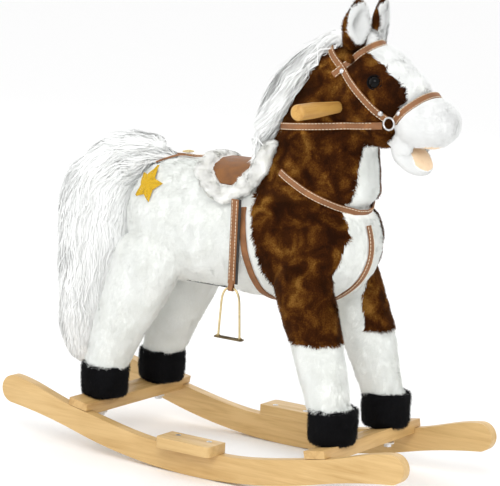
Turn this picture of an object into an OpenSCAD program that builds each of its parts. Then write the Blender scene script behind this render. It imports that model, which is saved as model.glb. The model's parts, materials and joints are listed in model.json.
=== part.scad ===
// Plush rocking horse on wooden rockers, millimetres, +X forward, +Y to the horse's left, +Z up.
// The origin is on the floor, midway between the rockers, under the lowest point of their arcs.

/* [Rockers] */
// Outer face to outer face of the two rockers
rocker_span = 280; // [276:1:290]
// Thickness of a rocker board
rocker_t = 18; // [16:1:20]
// Radius of the rocking arc
arc_r = 880; // [840:10:940]
// Width of a cross slat, along X
slat_w = 36; // [32:1:40]
// Distance of each slat's centre from the middle
slat_x = 222; // [218:1:226]
// Length of a foot pedal, along X
pedal_l = 100; // [90:1:110]
// Width of a foot pedal, along Y
pedal_w = 46; // [40:1:50]

/* [Horse] */
// Height of the middle of the barrel
barrel_z = 368; // [364:1:372]
// Half width of the barrel
barrel_half_w = 88; // [84:1:89]
// Distance of each leg's centre from the middle plane
leg_y = 77; // [75:1:79]
// Radius of a hoof cuff
hoof_r = 36; // [34:1:38]
// Height of the ear tips
ear_tip_z = 738; // [730:1:742]

/* [Handle] */
// Height of the handle's axis
handle_z = 581; // [578:1:584]
// Overall length of the handle, tip to tip
handle_l = 330; // [310:5:332]
// Radius of the straight outer part of a grip
grip_r = 12; // [11:0.5:13]

/* [Tack] */
// Width of a stirrup strap
strap_w = 18; // [14:1:22]
// Length of a hanging stirrup strap, hinge to loop
strap_l = 138; // [130:1:146]
// Height of a stirrup, loop to tread
stirrup_h = 77; // [68:1:82]
// Width of a bridle or harness strap
tack_w = 11; // [9:1:13]

/* [Hidden] */

soft_fn = 24;                    // facets of the plush forms
round_fn = 48;                   // facets of turned and drilled forms
gap = 0.4;                       // clearance between neighbouring soft pieces

// ---- timber base ----
rocker_y = rocker_span / 2;      // outer face of a rocker
board_h = 41.5;                  // height of a rocker board at the middle
seat_x = 54;                     // flat for the pedal runs to here
arc_end_x = 230;                 // the rocking arc ends here and the toe begins
toe_r = 22.5;                    // round toe at each end
toe_x = 352.5;
toe_z = 76;
slat_tilt = 9.5;                 // each slat leans with the rising board
slat_lip_t = 12;                 // part of a slat that lies on the boards
slat_t = 20;                     // full thickness between the boards
pedal_t = 16.5;
screw_x = 29;
screw_y = 135;

// ---- body ----
rump_x = -127;
chest_x = 102;
rump_size = [95, barrel_half_w + 1, 100];
chest_size = [123, barrel_half_w, 100];
front_hoof_x = 212;
rear_hoof_x = -217;
hoof_z = 80;
block_z = 318;                   // underside of the two cross blocks
block_t = 22;
beam_t = 18;

// ---- head ----
hinge_x = 238;                   // jaw hinge
hinge_z = 540;
jaw_drop = 34;                   // the open jaw points this far below level
jaw_travel = 18;                 // and closes by this much
jaw_reach = 48;                  // hinge to the middle of the jaw pad
jaw_size = [35, 33, 18];
handle_x = 176;
stud_r = 4;

// ---- tail ----
tail_x = -190;                   // upright tail shaft
tail_shaft_r = 4;

// ---- stirrups ----
strap_x = 28;
strap_y = 93.5;
strap_top_z = 428;
strap_t = 2.6;
loop_r = 4.4;
wire_r = 1.6;
wire_clear = 0.7;
bend_r = 1.9;                    // the wire swells a little at each bend
loop_z = strap_top_z - strap_l;

// A point on the underside of a rocker's arc
function arc_z(x) = arc_r - sqrt(arc_r * arc_r - x * x);
// Cubic from p to q with slopes m and n
function cubic(p, q, m, n, t) =
    let (d = q[0] - p[0])
    p[1] * (2*t*t*t - 3*t*t + 1) + q[1] * (3*t*t - 2*t*t*t)
    + m * d * (t*t*t - 2*t*t + t) + n * d * (t*t*t - t*t);
arc_end = [arc_end_x, arc_z(arc_end_x)];
toe_low = [toe_x, toe_z - toe_r];
toe_top = [toe_x - 4, toe_z + toe_r - 0.4];
seat_end = [seat_x, board_h];
waist = [236, 69.5];
half_low = [for (x = [0:10:arc_end_x]) [x, arc_z(x)]];
half_toe = [for (i = [1:8]) [
    arc_end[0] + (toe_low[0] - arc_end[0]) * i / 8,
    cubic(arc_end, toe_low, arc_end[0] / arc_r, 0.12, i / 8)]];
half_tip = [for (a = [-78:13:91]) [toe_x + toe_r * cos(a), toe_z + toe_r * sin(a)]];
half_top = concat(
    [for (i = [8:-1:1]) [
        waist[0] + (toe_top[0] - waist[0]) * (i - 0.5) / 8,
        cubic(waist, toe_top, 0.18, 0.1, (i - 0.5) / 8)]],
    [for (i = [8:-1:0]) [
        seat_end[0] + (waist[0] - seat_end[0]) * i / 8,
        cubic(seat_end, waist, 0.02, 0.18, i / 8)]]);
half_outline = concat(half_low, half_toe, half_tip, half_top);
rear_outline = [for (i = [len(half_outline) - 1:-1:1]) [-half_outline[i][0], half_outline[i][1]]];

// A round bar from a to b, radius r at a and s at b
module bar(a, b, r, s) {
    d = b - a;
    translate(a)
        rotate([0, acos(d[2] / norm(d)), atan2(d[1], d[0])])
            cylinder(h = norm(d), r1 = r, r2 = s, $fn = round_fn);
}
// An egg with its middle at c and half sizes s
module egg(c, s) translate(c) scale(s) sphere(r = 1, $fn = soft_fn);
// Eggs joined by one skin, all grown by g
module skin(eggs, g = 0) hull() for (e = eggs) egg(e[0], e[1] + [g, g, g]);
// Both sides of the middle plane
module both_sides() {
    children();
    mirror([0, 1, 0]) children();
}

// ---- timber base ----
module rocker_outline() polygon(concat(half_outline, rear_outline));
module rocker_board(side) color("burlywood")
    difference() {
        translate([0, side * (rocker_y - rocker_t / 2) + rocker_t / 2, 0])
            rotate([90, 0, 0]) linear_extrude(rocker_t) rocker_outline();
        for (x = [-screw_x, screw_x])
            translate([x, side * screw_y, board_h - 20]) cylinder(h = 30, r = 2, $fn = round_fn);
    }
slat_seat_z = cubic(seat_end, waist, 0.02, 0.18, (slat_x - seat_x) / (waist[0] - seat_x));
module slat_timber(dir, lift = 0)
    translate([dir * slat_x, 0, slat_seat_z + 0.9 + lift]) rotate([0, -dir * slat_tilt, 0]) union() {
        translate([-slat_w / 2, -rocker_y, 0]) cube([slat_w, rocker_span, slat_lip_t]);
        translate([-slat_w / 2, -rocker_y + rocker_t + 0.3, slat_lip_t - slat_t])
            cube([slat_w, rocker_span - 2 * rocker_t - 0.6, slat_t]);
    }
module slat(dir) {
    color("peru") difference() {
        slat_timber(dir);
        both_sides() translate([leg_bolt_x(dir), leg_y, 40]) cylinder(h = 60, r = 4.2, $fn = round_fn);
    }
}
function leg_bolt_x(dir) = dir > 0 ? 219 : -222;
module pedal(side) color("wheat")
    difference() {
        translate([0, side * (rocker_y - rocker_t), board_h + 0.2]) mirror([0, side < 0 ? 1 : 0, 0])
            linear_extrude(pedal_t) union() {
                translate([-pedal_l / 2, 0]) square([pedal_l, pedal_w - 8]);
                translate([-pedal_l / 2 + 8, pedal_w - 8.01]) square([pedal_l - 16, 8.01]);
                for (x = [-1, 1]) translate([x * (pedal_l / 2 - 8), pedal_w - 8]) circle(r = 8, $fn = round_fn);
            }
        for (x = [-screw_x, screw_x]) translate([x, side * screw_y, board_h]) {
            cylinder(h = 40, r = 2.3, $fn = round_fn);
            translate([0, 0, pedal_t - 2.6]) cylinder(h = 10, r = 4.6, $fn = round_fn);
        }
    }
module pedal_screws() color("silver")
    for (x = [-screw_x, screw_x], side = [-1, 1])
        translate([x, side * screw_y, board_h - 18]) {
            cylinder(h = 18 + pedal_t - 2.4, r = 2, $fn = round_fn);
            difference() {
                translate([0, 0, 18 + pedal_t - 2.4]) cylinder(h = 2.8, r = 4.4, $fn = round_fn);
                for (a = [0, 90]) translate([0, 0, 18 + pedal_t + 0.1]) rotate([0, 0, a])
                    cube([5, 1, 2], center = true);
            }
        }
module leg_bolts() color("silver")
    for (dir = [-1, 1], side = [-1, 1]) translate([leg_bolt_x(dir), side * leg_y, 46]) {
        cylinder(h = 74, r = 3.9, $fn = round_fn);
        cylinder(h = 5, r = 6.5, $fn = 6);
    }
module leg_bolt_caps() color("white")
    for (dir = [-1, 1], side = [-1, 1]) translate([leg_bolt_x(dir), side * leg_y, 51.1])
        difference() {
            cylinder(h = 2.6, r = 10, $fn = round_fn);
            translate([0, 0, -1]) cylinder(h = 10, r = 4.2, $fn = round_fn);
        }

// ---- frame inside the plush ----
function post_low(dir) = [leg_bolt_x(dir), leg_y, 83];
function post_top(dir) = [dir > 0 ? 150 : -150, 58, block_z];
module leg_post(dir, side) color("tan")
    mirror([0, side < 0 ? 1 : 0, 0]) difference() {
        bar(post_low(dir), post_top(dir), 13, 13);
        translate(post_low(dir) + [0, 0, -20]) cylinder(h = 57.5, r = 3.95, $fn = round_fn);
        translate([post_top(dir)[0], post_top(dir)[1], block_z + 9.9]) cube([60, 60, 20], center = true);
    }
module cross_block(x) color("tan")
    translate([x - 22, -75, block_z]) cube([44, 150, block_t]);
module spine_beam() color("tan")
    translate([-175, -30, block_z + block_t]) cube([350, 60, beam_t]);
module neck_post() color("tan")
    translate([0, 10, 0]) rotate([90, 0, 0]) linear_extrude(20)
        polygon([[100, block_z + block_t + beam_t], [145, block_z + block_t + beam_t],
                 [196, 552], [156, 552]]);
module head_block() color("tan") difference() {
    translate([148, -24, 552]) cube([56, 48, 52]);
    translate([handle_x, 0, handle_z]) rotate([90, 0, 0])
        cylinder(h = 100, r = stud_r + 0.05, center = true, $fn = round_fn);
}
module handle_stud() color("silver")
    translate([handle_x, 0, handle_z]) rotate([90, 0, 0])
        cylinder(h = 144, r = stud_r, center = true, $fn = round_fn);
module handle(side) {
    tip = handle_l / 2;
    straight = 38;
    color("goldenrod") translate([handle_x, 0, handle_z]) rotate([side < 0 ? 90 : -90, 0, 0])
        rotate_extrude($fn = round_fn) difference() {
            union() {
                polygon([[0, 24.2], [8.5, 24.2], [8.5, 50], [grip_r, tip - straight - 6],
                         [grip_r, tip - 5], [0, tip - 5]]);
                translate([grip_r - 5, tip - 5]) circle(r = 5, $fn = round_fn);
                translate([0, tip - 6]) square([grip_r - 5, 6]);
            }
            translate([-20, 0]) square([20, tip + 10]);
            square([stud_r + 0.05, 74]);
        }
}
module jaw_motor() color("dimgray") difference() {
    translate([212, -13, 530]) cube([38, 26, 40]);
    translate([hinge_x, 0, hinge_z]) rotate([90, 0, 0])
        cylinder(h = 60, r = 2.55, center = true, $fn = round_fn);
}
module tail_motor() color("dimgray") difference() {
    translate([tail_x - 24, -20, 372]) cube([50, 40, 34]);
    translate([tail_x, 0, 384]) cylinder(h = 40, r = tail_shaft_r + 0.05, $fn = round_fn);
}
box_x = -60;                     // battery box middle
box_z = 276;                     // underside of the battery box
module battery_box() color("black") difference() {
    union() {
        translate([box_x - 38, -32, box_z]) cube([76, 64, 40]);
        translate([box_x + 37, -8, box_z + 8.3]) cube([23, 16, 14]);
    }
    translate([box_x - 34, -28, box_z - 10]) cube([68, 56, 46]);
}
module battery_cells() color("gray")
    for (y = [-16, 0, 16]) translate([box_x - 25, y, box_z + 17]) rotate([0, 90, 0])
        cylinder(h = 50, r = 7.2, $fn = round_fn);
module battery_lid() color("black") union() {
    translate([box_x - 33.5, -27.5, box_z]) cube([67, 55, 2]);
    translate([box_x - 12, -26, box_z + 2]) cube([24, 3, 5]);
}
module sound_module() color("darkgreen") union() {
    translate([-5, -25, 361]) cube([50, 50, 1.6]);
    translate([20, 0, 362]) cylinder(h = 12, r = 20, $fn = round_fn);
}
module power_switch() color("red")
    translate([box_x + 42, -3, box_z]) cube([8, 6, 8]);
module ear_button() color("white")
    translate([183, -31, 652]) rotate([90, 0, 0]) cylinder(h = 5, r = 7, $fn = round_fn);
module button_pocket()
    translate([183, -28.9, 652]) rotate([90, 0, 0]) cylinder(h = 40, r = 8, $fn = round_fn);

// ---- plush forms ----
torso_eggs = [
    [[rump_x, 0, barrel_z], rump_size],
    [[chest_x, 0, barrel_z], chest_size],
    [[152, 38, barrel_z - 2], [52, 47, 72]],
    [[152, -38, barrel_z - 2], [52, 47, 72]]
];
neck_eggs = [
    [[110, 0, 452], [107, 82, 40]],
    [[122, 0, 530], [88, 66, 36]],
    [[134, 0, 592], [66, 57, 34]],
    [[152, 0, 642], [42, 42, 30]]
];
head_eggs = [
    [[207, 0, 622], [63, 50, 53]],
    [[205, 0, 583], [62, 57, 46]],
    [[266, 0, 607], [33, 38, 32]]
];
function front_leg_eggs(side) = [
    [[front_hoof_x - 10, side * leg_y, 140], [33, 33, 30]],
    [[173, side * leg_y, 235], [38, 38, 34]],
    [[142, side * 67, 305], [46, 38, 46]]
];
function rear_leg_eggs(side) = [
    [[rear_hoof_x + 3, side * leg_y, 138], [34, 33, 30]],
    [[-190, side * leg_y, 218], [39, 38, 34]],
    [[-150, side * 70, 300], [60, 42, 54]]
];
module torso_form(g = 0) skin(torso_eggs, g);
module neck_form(g = 0) skin(neck_eggs, g);
module head_form(g = 0) skin(head_eggs, g);
module muzzle_form(g = 0) skin([[[301, 0, 567], [49, 55, 41]]], g);
module jaw_pad(angle, g = 0)
    translate([hinge_x, 0, hinge_z]) rotate([0, angle, 0]) translate([jaw_reach, 0, 0])
        scale(jaw_size + [g, g, g]) sphere(r = 1, $fn = soft_fn);
module hoof_form(x, side) translate([x, side * leg_y, hoof_z]) union() {
    translate([0, 0, 6]) cylinder(h = 46, r = hoof_r, $fn = soft_fn);
    cylinder(h = 6, r1 = hoof_r - 4, r2 = hoof_r, $fn = soft_fn);
}

module torso_plush() color("ivory") difference() {
    torso_form();
    translate([tail_x, 0, 380]) cylinder(h = 120, r = 8, $fn = round_fn);
    translate([box_x - 38.2, -32.2, 250]) cube([100, 64.4, 66.4]);
}
module neck_plush() color("saddlebrown") difference() {
    neck_form();
    torso_form(gap);
    button_pocket();
}
module head_plush() color("saddlebrown") difference() {
    head_form();
    neck_form(gap);
    translate([hinge_x, 0, hinge_z]) rotate([90, 0, 0])
        cylinder(h = 48, r = 26, center = true, $fn = round_fn);
    button_pocket();
}
module muzzle_plush() color("ivory") difference() {
    muzzle_form();
    head_form(gap);
    translate([hinge_x, 0, hinge_z]) rotate([90, 0, 0])
        cylinder(h = 48, r = 26, center = true, $fn = round_fn);
    hull() {
        jaw_pad(jaw_drop, 1.5);
        jaw_pad(jaw_drop - jaw_travel, 1.5);
    }
}
module leg_plush(eggs, x, side, shade) color(shade) difference() {
    union() {
        skin(eggs);
        hoof_form(x, side);
    }
    torso_form(gap);
    slat_timber(sign(x), gap);
}
module ear(side) color("saddlebrown")
    translate([186, side * 33, 668]) rotate([0, 4, side * 14]) difference() {
        skin([[[0, 0, 6], [10, 19, 10]], [[1, 0, 38], [8, 25, 20]], [[2, 0, 60], [5, 12, 11]]]);
        skin([[[11, 0, 36], [8, 16, 26]]]);
    }
module ear_piece(side) difference() {
    intersection() {
        ear(side);
        translate([100, -100, 600]) cube([200, 200, ear_tip_z - 600]);
    }
    head_form(gap);
    neck_form(gap);
}
module eyes() color("black")
    both_sides() translate([233, 44, 623]) sphere(r = 10, $fn = round_fn);
module mane() color("white") difference() {
    skin([[[138, 0, 670], [24, 34, 22]], [[74, 0, 608], [32, 56, 26]],
          [[50, 0, 540], [36, 68, 32]], [[34, 0, 490], [34, 72, 24]]]);
    neck_form(gap);
    torso_form(gap);
    head_form(gap);
    saddle_solid(gap);
}

// ---- saddle and straps ----
// A layer of the body's surface, from in to out above it
module body_layer(in, out) difference() {
    union() {
        torso_form(out);
        neck_form(out);
    }
    torso_form(in);
    neck_form(in);
}
saddle_footprint = [[-92, 520], [-74, 455], [-30, 424], [2, 414], [30, 430], [70, 470], [82, 520]];
seat_footprint = [[-72, 520], [-50, 460], [-18, 441], [6, 441], [36, 474], [36, 520]];
module side_prism(points) translate([0, 200, 0]) rotate([90, 0, 0]) linear_extrude(400) polygon(points);
module saddle_solid(g = 0) intersection() {
    union() {
        torso_form(14 + g);
        neck_form(14 + g);
    }
    side_prism(saddle_footprint);
}
module saddle_fleece() color("white") difference() {
    intersection() {
        body_layer(gap, 14);
        side_prism(saddle_footprint);
    }
    difference() {
        side_prism(seat_footprint);
        torso_form(4);
    }
}
module saddle_seat() color("sienna") intersection() {
    difference() {
        torso_form(9);
        torso_form(4 + gap);
        neck_form(gap);
    }
    side_prism([for (p = seat_footprint) [p[0] * 0.97 - 0.4, p[1] + (p[1] < 500 ? 1.2 : 0)]]);
}
module slab(at, angle, w) translate(at) rotate([0, -angle, 0])
    translate([-300, -200, -w / 2]) cube([600, 400, w]);
module girth_strap() color("sienna") intersection() {
    difference() {
        torso_form(2.4);
        torso_form(gap);
    }
    slab([46, 0, 350], 100, tack_w);
    translate([-100, -200, 200]) cube([300, 400, 222]);
}
module crupper_strap() color("sienna") intersection() {
    difference() {
        torso_form(2.8);
        torso_form(gap);
    }
    translate([-171, -5.5, 380]) cube([171 - 102, tack_w, 120]);
}
module crupper_buckle() color("gold")
    translate([-128, 0, 472.6]) difference() {
        cube([14, 18, 2.4], center = true);
        cube([9, 12.5, 10], center = true);
    }
module breast_strap() color("sienna") intersection() {
    body_layer(gap, 2.8);
    slab([150, 0, 449], -28, tack_w);
    translate([76, -200, 300]) cube([300, 400, 300]);
}
module bridle() color("sienna") difference() {
    intersection() {
        difference() {
            union() {
                head_form(2.8);
                neck_form(2.8);
            }
            head_form(gap);
            neck_form(gap);
        }
        union() {
            intersection() {
                slab([210, 0, 607], -41, tack_w);
                translate([60, -200, 500]) cube([203, 400, 400]);
            }
            intersection() {
                slab([196, 0, 660], 44, tack_w);
                translate([176, -200, 500]) cube([203, 400, 400]);
            }
            intersection() {
                slab([282, 0, 581], 46, tack_w);
                translate([262, -200, 500]) cube([203, 400, 400]);
            }
        }
    }
    muzzle_form(gap);
    ear(1);
    ear(-1);
    button_pocket();
}
module bit_rings() color("silver")
    both_sides() translate([266, 53.5, 566]) rotate([90, 0, 0])
        rotate_extrude($fn = round_fn) translate([9, 0]) circle(r = 1.5, $fn = 16);
module reins() color("sienna") difference() {
    intersection() {
        difference() {
            union() {
                head_form(2.8);
                neck_form(2.8);
            }
            head_form(gap);
            neck_form(gap);
        }
        slab([180, 0, 553], 5.8, tack_w);
        translate([-60, -200, 400]) cube([308, 400, 400]);
    }
    both_sides() translate([handle_x, 100, handle_z]) rotate([90, 0, 0])
        cylinder(h = 100, r = grip_r + 1, center = true, $fn = round_fn);
}

// ---- moving pieces ----
module jaw_shaft() color("silver")
    translate([hinge_x, 0, hinge_z]) rotate([90, 0, 0])
        cylinder(h = 44, r = 2.5, center = true, $fn = round_fn);
module jaw_frame() color("white")
    translate([hinge_x, 0, hinge_z]) rotate([0, jaw_drop, 0]) difference() {
        union() {
            both_sides() {
                translate([0, 17, 0]) rotate([90, 0, 0]) cylinder(h = 3, r = 7, $fn = round_fn);
                translate([0, 14, -4]) cube([62, 3, 8]);
            }
            translate([38, -17, -1.5]) cube([34, 34, 3]);
        }
        rotate([90, 0, 0]) cylinder(h = 60, r = 2.5, center = true, $fn = round_fn);
    }
module jaw_plush() color("ivory") difference() {
    jaw_pad(jaw_drop);
    translate([hinge_x, 0, hinge_z]) rotate([90, 0, 0])
        cylinder(h = 90, r = 16, center = true, $fn = round_fn);
}
module tail_core() color("white") {
    translate([tail_x, 0, 386]) cylinder(h = 92, r = tail_shaft_r, $fn = round_fn);
    bar([tail_x - 2, 0, 474], [-250, 0, 478], 5, 4);
}
module tail_plush() color("white") difference() {
    union() {
        skin([[[-208, 0, 476], [16, 18, 15]], [[-258, 0, 462], [34, 36, 26]]]);
        skin([[[-258, 0, 462], [34, 36, 26]], [[-304, 0, 400], [56, 48, 44]]]);
        skin([[[-304, 0, 400], [56, 48, 44]], [[-308, 0, 290], [58, 48, 50]]]);
        skin([[[-308, 0, 290], [58, 48, 50]], [[-314, 0, 190], [48, 40, 44]],
              [[-319, 0, 140], [24, 22, 26]]]);
    }
    translate([tail_x, 0, 300]) cylinder(h = 300, r = 7, $fn = round_fn);
}
module stirrup_strap(side) color("sienna") translate([strap_x, side * strap_y, 0]) {
    translate([-strap_w / 2, -strap_t / 2, loop_z + 12]) cube([strap_w, strap_t, strap_l - 12]);
    translate([-4, -strap_t / 2, loop_z + loop_r - 0.5]) cube([8, strap_t, 10]);
    translate([0, 0, loop_z]) rotate([0, 90, 0]) difference() {
        cylinder(h = 8, r = loop_r, center = true, $fn = round_fn);
        cylinder(h = 20, r = wire_r + wire_clear, center = true, $fn = round_fn);
    }
}
module stirrup(side) color("goldenrod") translate([strap_x, side * strap_y, loop_z]) {
    bar([-6, 0, 0], [6, 0, 0], wire_r, wire_r);
    for (s = [-1, 1]) {
        translate([s * 6, 0, 0]) sphere(r = bend_r, $fn = round_fn);
        bar([s * 6, 0, 0], [s * 16, 0, -19], wire_r, wire_r);
        translate([s * 16, 0, -19]) sphere(r = bend_r, $fn = round_fn);
        bar([s * 16, 0, -19], [s * 20, 0, -stirrup_h], wire_r, wire_r);
    }
    translate([0, 0, -stirrup_h]) cube([50, 13, 4], center = true);
}

rocker_board(-1);  // rocker_right
rocker_board(1);  // rocker_left
slat(1);  // front_slat
slat(-1);  // rear_slat
pedal(-1);  // pedal_right
pedal(1);  // pedal_left
pedal_screws();
leg_bolts();
leg_bolt_caps();
leg_post(1, -1);  // post_front_right
leg_post(1, 1);  // post_front_left
leg_post(-1, -1);  // post_rear_right
leg_post(-1, 1);  // post_rear_left
spine_beam();
cross_block(150);  // shoulder_block
cross_block(-150);  // hip_block
neck_post();
head_block();
handle_stud();
handle(-1);  // handle_right
handle(1);  // handle_left
jaw_motor();
tail_motor();
battery_box();
battery_cells();
sound_module();
torso_plush();
neck_plush();
head_plush();
muzzle_plush();
leg_plush(front_leg_eggs(-1), front_hoof_x, -1, "saddlebrown");  // leg_front_right
leg_plush(front_leg_eggs(1), front_hoof_x, 1, "saddlebrown");  // leg_front_left
leg_plush(rear_leg_eggs(-1), rear_hoof_x, -1, "ivory");  // leg_rear_right
leg_plush(rear_leg_eggs(1), rear_hoof_x, 1, "ivory");  // leg_rear_left
ear_piece(-1);  // ear_right
ear_piece(1);  // ear_left
eyes();
mane();
saddle_seat();
saddle_fleece();
girth_strap();
crupper_strap();
crupper_buckle();
breast_strap();
bridle();
bit_rings();
reins();
jaw_frame();
jaw_shaft();
jaw_plush();
tail_core();
tail_plush();
stirrup_strap(-1);  // stirrup_strap_right
stirrup_strap(1);  // stirrup_strap_left
stirrup(-1);  // stirrup_right
stirrup(1);  // stirrup_left
ear_button();
battery_lid();
power_switch();
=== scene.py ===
"""Looks of the plush rocking horse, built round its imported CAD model. Metres, +X to the nose, +Z up."""

import json
import math

import bmesh
import bpy
import numpy as np
from mathutils import Matrix, Vector
from mathutils.bvhtree import BVHTree

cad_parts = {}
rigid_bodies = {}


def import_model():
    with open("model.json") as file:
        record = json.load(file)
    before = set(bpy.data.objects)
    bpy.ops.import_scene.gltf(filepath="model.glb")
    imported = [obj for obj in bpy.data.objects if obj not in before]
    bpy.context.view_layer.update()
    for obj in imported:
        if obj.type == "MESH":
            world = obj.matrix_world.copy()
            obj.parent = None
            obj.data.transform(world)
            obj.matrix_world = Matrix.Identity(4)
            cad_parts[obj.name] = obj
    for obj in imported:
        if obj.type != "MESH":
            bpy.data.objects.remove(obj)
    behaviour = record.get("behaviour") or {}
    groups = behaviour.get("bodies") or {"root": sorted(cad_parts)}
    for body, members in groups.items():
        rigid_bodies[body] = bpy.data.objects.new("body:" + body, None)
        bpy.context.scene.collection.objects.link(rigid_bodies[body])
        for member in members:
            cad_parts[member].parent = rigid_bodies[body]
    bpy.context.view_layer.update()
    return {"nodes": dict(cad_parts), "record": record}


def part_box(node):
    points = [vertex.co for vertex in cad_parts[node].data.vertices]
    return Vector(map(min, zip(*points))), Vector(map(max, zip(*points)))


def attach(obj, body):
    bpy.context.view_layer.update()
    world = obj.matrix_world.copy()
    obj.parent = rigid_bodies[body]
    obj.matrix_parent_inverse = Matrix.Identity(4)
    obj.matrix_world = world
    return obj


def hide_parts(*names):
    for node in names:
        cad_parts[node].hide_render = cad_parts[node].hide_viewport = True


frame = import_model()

MM = 0.001


# ---------------------------------------------------------------- camera, floor and light

CAMERA_AZIMUTH = 34.079
CAMERA_ELEVATION = 8.009
CAMERA_DISTANCE = 3.9528
NOSE_DOWN = 3.226                     # the horse rests this far nose down, so the camera leans the same
CAMERA_AIM = (0.0183, 0.0, 0.3611)    # point that the camera turns round, before it leans
CAMERA_LENS = 183.29
CAMERA_SHIFT = (-0.0027, -0.0207)


def lean_with_horse(v):
    """A vector of the photographer's level room, in the horse's own frame."""
    lean = math.radians(NOSE_DOWN)
    x, y, z = v
    return Vector((x * math.cos(lean) - z * math.sin(lean), y, x * math.sin(lean) + z * math.cos(lean)))


def make_camera():
    a = math.radians(CAMERA_AZIMUTH)
    e = math.radians(CAMERA_ELEVATION)
    back = Vector((math.sin(a) * math.cos(e), -math.cos(a) * math.cos(e), math.sin(e)))
    right = Vector((math.cos(a), math.sin(a), 0))
    up = back.cross(right)
    place = lean_with_horse(Vector(CAMERA_AIM) + CAMERA_DISTANCE * back)
    axes = Matrix([lean_with_horse(v) for v in (right, up, back)]).transposed()
    data = bpy.data.cameras.new("camera")
    data.lens = CAMERA_LENS
    data.shift_x, data.shift_y = CAMERA_SHIFT
    data.clip_start = 0.1
    data.clip_end = 900
    camera = bpy.data.objects.new("camera", data)
    camera.matrix_world = Matrix.Translation(place) @ axes.to_4x4()
    bpy.context.scene.collection.objects.link(camera)
    bpy.context.scene.camera = camera


def area_light(name, place, aim, size, power):
    data = bpy.data.lights.new(name, "AREA")
    data.shape = "DISK"
    data.size = size
    data.energy = power
    lamp = bpy.data.objects.new(name, data)
    lamp.location = place
    lamp.rotation_euler = (Vector(aim) - Vector(place)).to_track_quat("-Z", "Y").to_euler()
    bpy.context.scene.collection.objects.link(lamp)


def make_studio():
    middle = (0, 0, 0.36)
    area_light("key_light", (1.4, -2.6, 2.4), middle, 1.8, 44)
    area_light("fill_light", (-2.6, -1.6, 1.4), middle, 2.4, 10)
    area_light("back_light", (-1.0, 2.6, 2.2), middle, 2.0, 20)
    world = bpy.data.worlds.new("studio")
    bpy.context.scene.world = world
    world.use_nodes = True
    background = world.node_tree.nodes["Background"]
    background.inputs["Color"].default_value = (1.0, 1.0, 1.0, 1)
    background.inputs["Strength"].default_value = 1.0
    bpy.context.scene.view_settings.view_transform = "Standard"
    bpy.ops.mesh.primitive_plane_add(size=600, location=(0, 0, -0.0005))
    floor = bpy.context.object
    floor.name = "floor"
    floor.data.materials.append(plain_material("floor", (0.97, 0.97, 0.97), 0.9))


# ---------------------------------------------------------------- materials

def new_material(name):
    material = bpy.data.materials.new(name)
    material.use_nodes = True
    shader = material.node_tree.nodes["Principled BSDF"]
    return material, material.node_tree, shader


def plain_material(name, colour, rough):
    material, tree, shader = new_material(name)
    shader.inputs["Base Color"].default_value = (*colour, 1)
    shader.inputs["Roughness"].default_value = rough
    return material


def own_coordinates(tree, stretch=(1, 1, 1)):
    """Coordinates that stay with the piece, stretched along its axes."""
    coordinates = tree.nodes.new("ShaderNodeTexCoord")
    mapping = tree.nodes.new("ShaderNodeMapping")
    mapping.inputs["Scale"].default_value = stretch
    tree.links.new(coordinates.outputs["Object"], mapping.inputs["Vector"])
    return mapping.outputs["Vector"]


def noise(tree, vector, scale, detail=3.0, distortion=0.0):
    node = tree.nodes.new("ShaderNodeTexNoise")
    node.inputs["Scale"].default_value = scale
    node.inputs["Detail"].default_value = detail
    node.inputs["Distortion"].default_value = distortion
    tree.links.new(vector, node.inputs["Vector"])
    return node.outputs["Fac"]


def cells(tree, vector, scale):
    node = tree.nodes.new("ShaderNodeTexVoronoi")
    node.feature = "DISTANCE_TO_EDGE"
    node.inputs["Scale"].default_value = scale
    tree.links.new(vector, node.inputs["Vector"])
    return node.outputs["Distance"]


def ramp(tree, value, stops):
    node = tree.nodes.new("ShaderNodeValToRGB")
    points = node.color_ramp.elements
    while len(points) < len(stops):
        points.new(0.5)
    for point, (place, colour) in zip(points, stops):
        point.position = place
        point.color = (*colour, 1)
    tree.links.new(value, node.inputs["Fac"])
    return node.outputs["Color"]


def mix(tree, share, a, b, kind="MIX"):
    node = tree.nodes.new("ShaderNodeMix")
    node.data_type = "RGBA"
    node.blend_type = kind
    for socket, value in ((node.inputs[0], share), (node.inputs[6], a), (node.inputs[7], b)):
        if isinstance(value, bpy.types.NodeSocket):
            tree.links.new(value, socket)
        elif isinstance(value, tuple):
            socket.default_value = (*value, 1)
        else:
            socket.default_value = value
    return node.outputs[2]


def add(tree, a, b, weight):
    node = tree.nodes.new("ShaderNodeMath")
    node.operation = "MULTIPLY_ADD"
    node.inputs[1].default_value = weight
    tree.links.new(b, node.inputs[0])
    tree.links.new(a, node.inputs[2])
    return node.outputs[0]


def bump(tree, shader, height, depth):
    node = tree.nodes.new("ShaderNodeBump")
    node.inputs["Strength"].default_value = 1.0
    node.inputs["Distance"].default_value = depth
    tree.links.new(height, node.inputs["Height"])
    tree.links.new(node.outputs["Normal"], shader.inputs["Normal"])


def set_sheen(shader, weight, tint, rough=0.5):
    """Cloth: hardly any mirror reflection, and a soft rim."""
    shader.inputs["Specular IOR Level"].default_value = 0.08
    shader.inputs["Sheen Weight"].default_value = weight
    shader.inputs["Sheen Roughness"].default_value = rough
    shader.inputs["Sheen Tint"].default_value = (*tint, 1)


def plush(name, stops, sheen, tint, blotch=34.0, depth=0.0012):
    """Short pile cloth: mottled colour (in brown, its golden patches are painted sheen), fine tufts, soft sheen."""
    material, tree, shader = new_material(name)
    at = own_coordinates(tree)
    mottle = add(tree, noise(tree, at, blotch, 4, 0.6), noise(tree, at, 420, 2), 0.35)
    tree.links.new(ramp(tree, mottle, stops), shader.inputs["Base Color"])
    tufts = add(tree, noise(tree, at, 150, 3), noise(tree, at, 700, 2), 0.6)
    bump(tree, shader, tufts, depth)
    shader.inputs["Roughness"].default_value = 0.92
    set_sheen(shader, sheen, tint)
    return material


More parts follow.
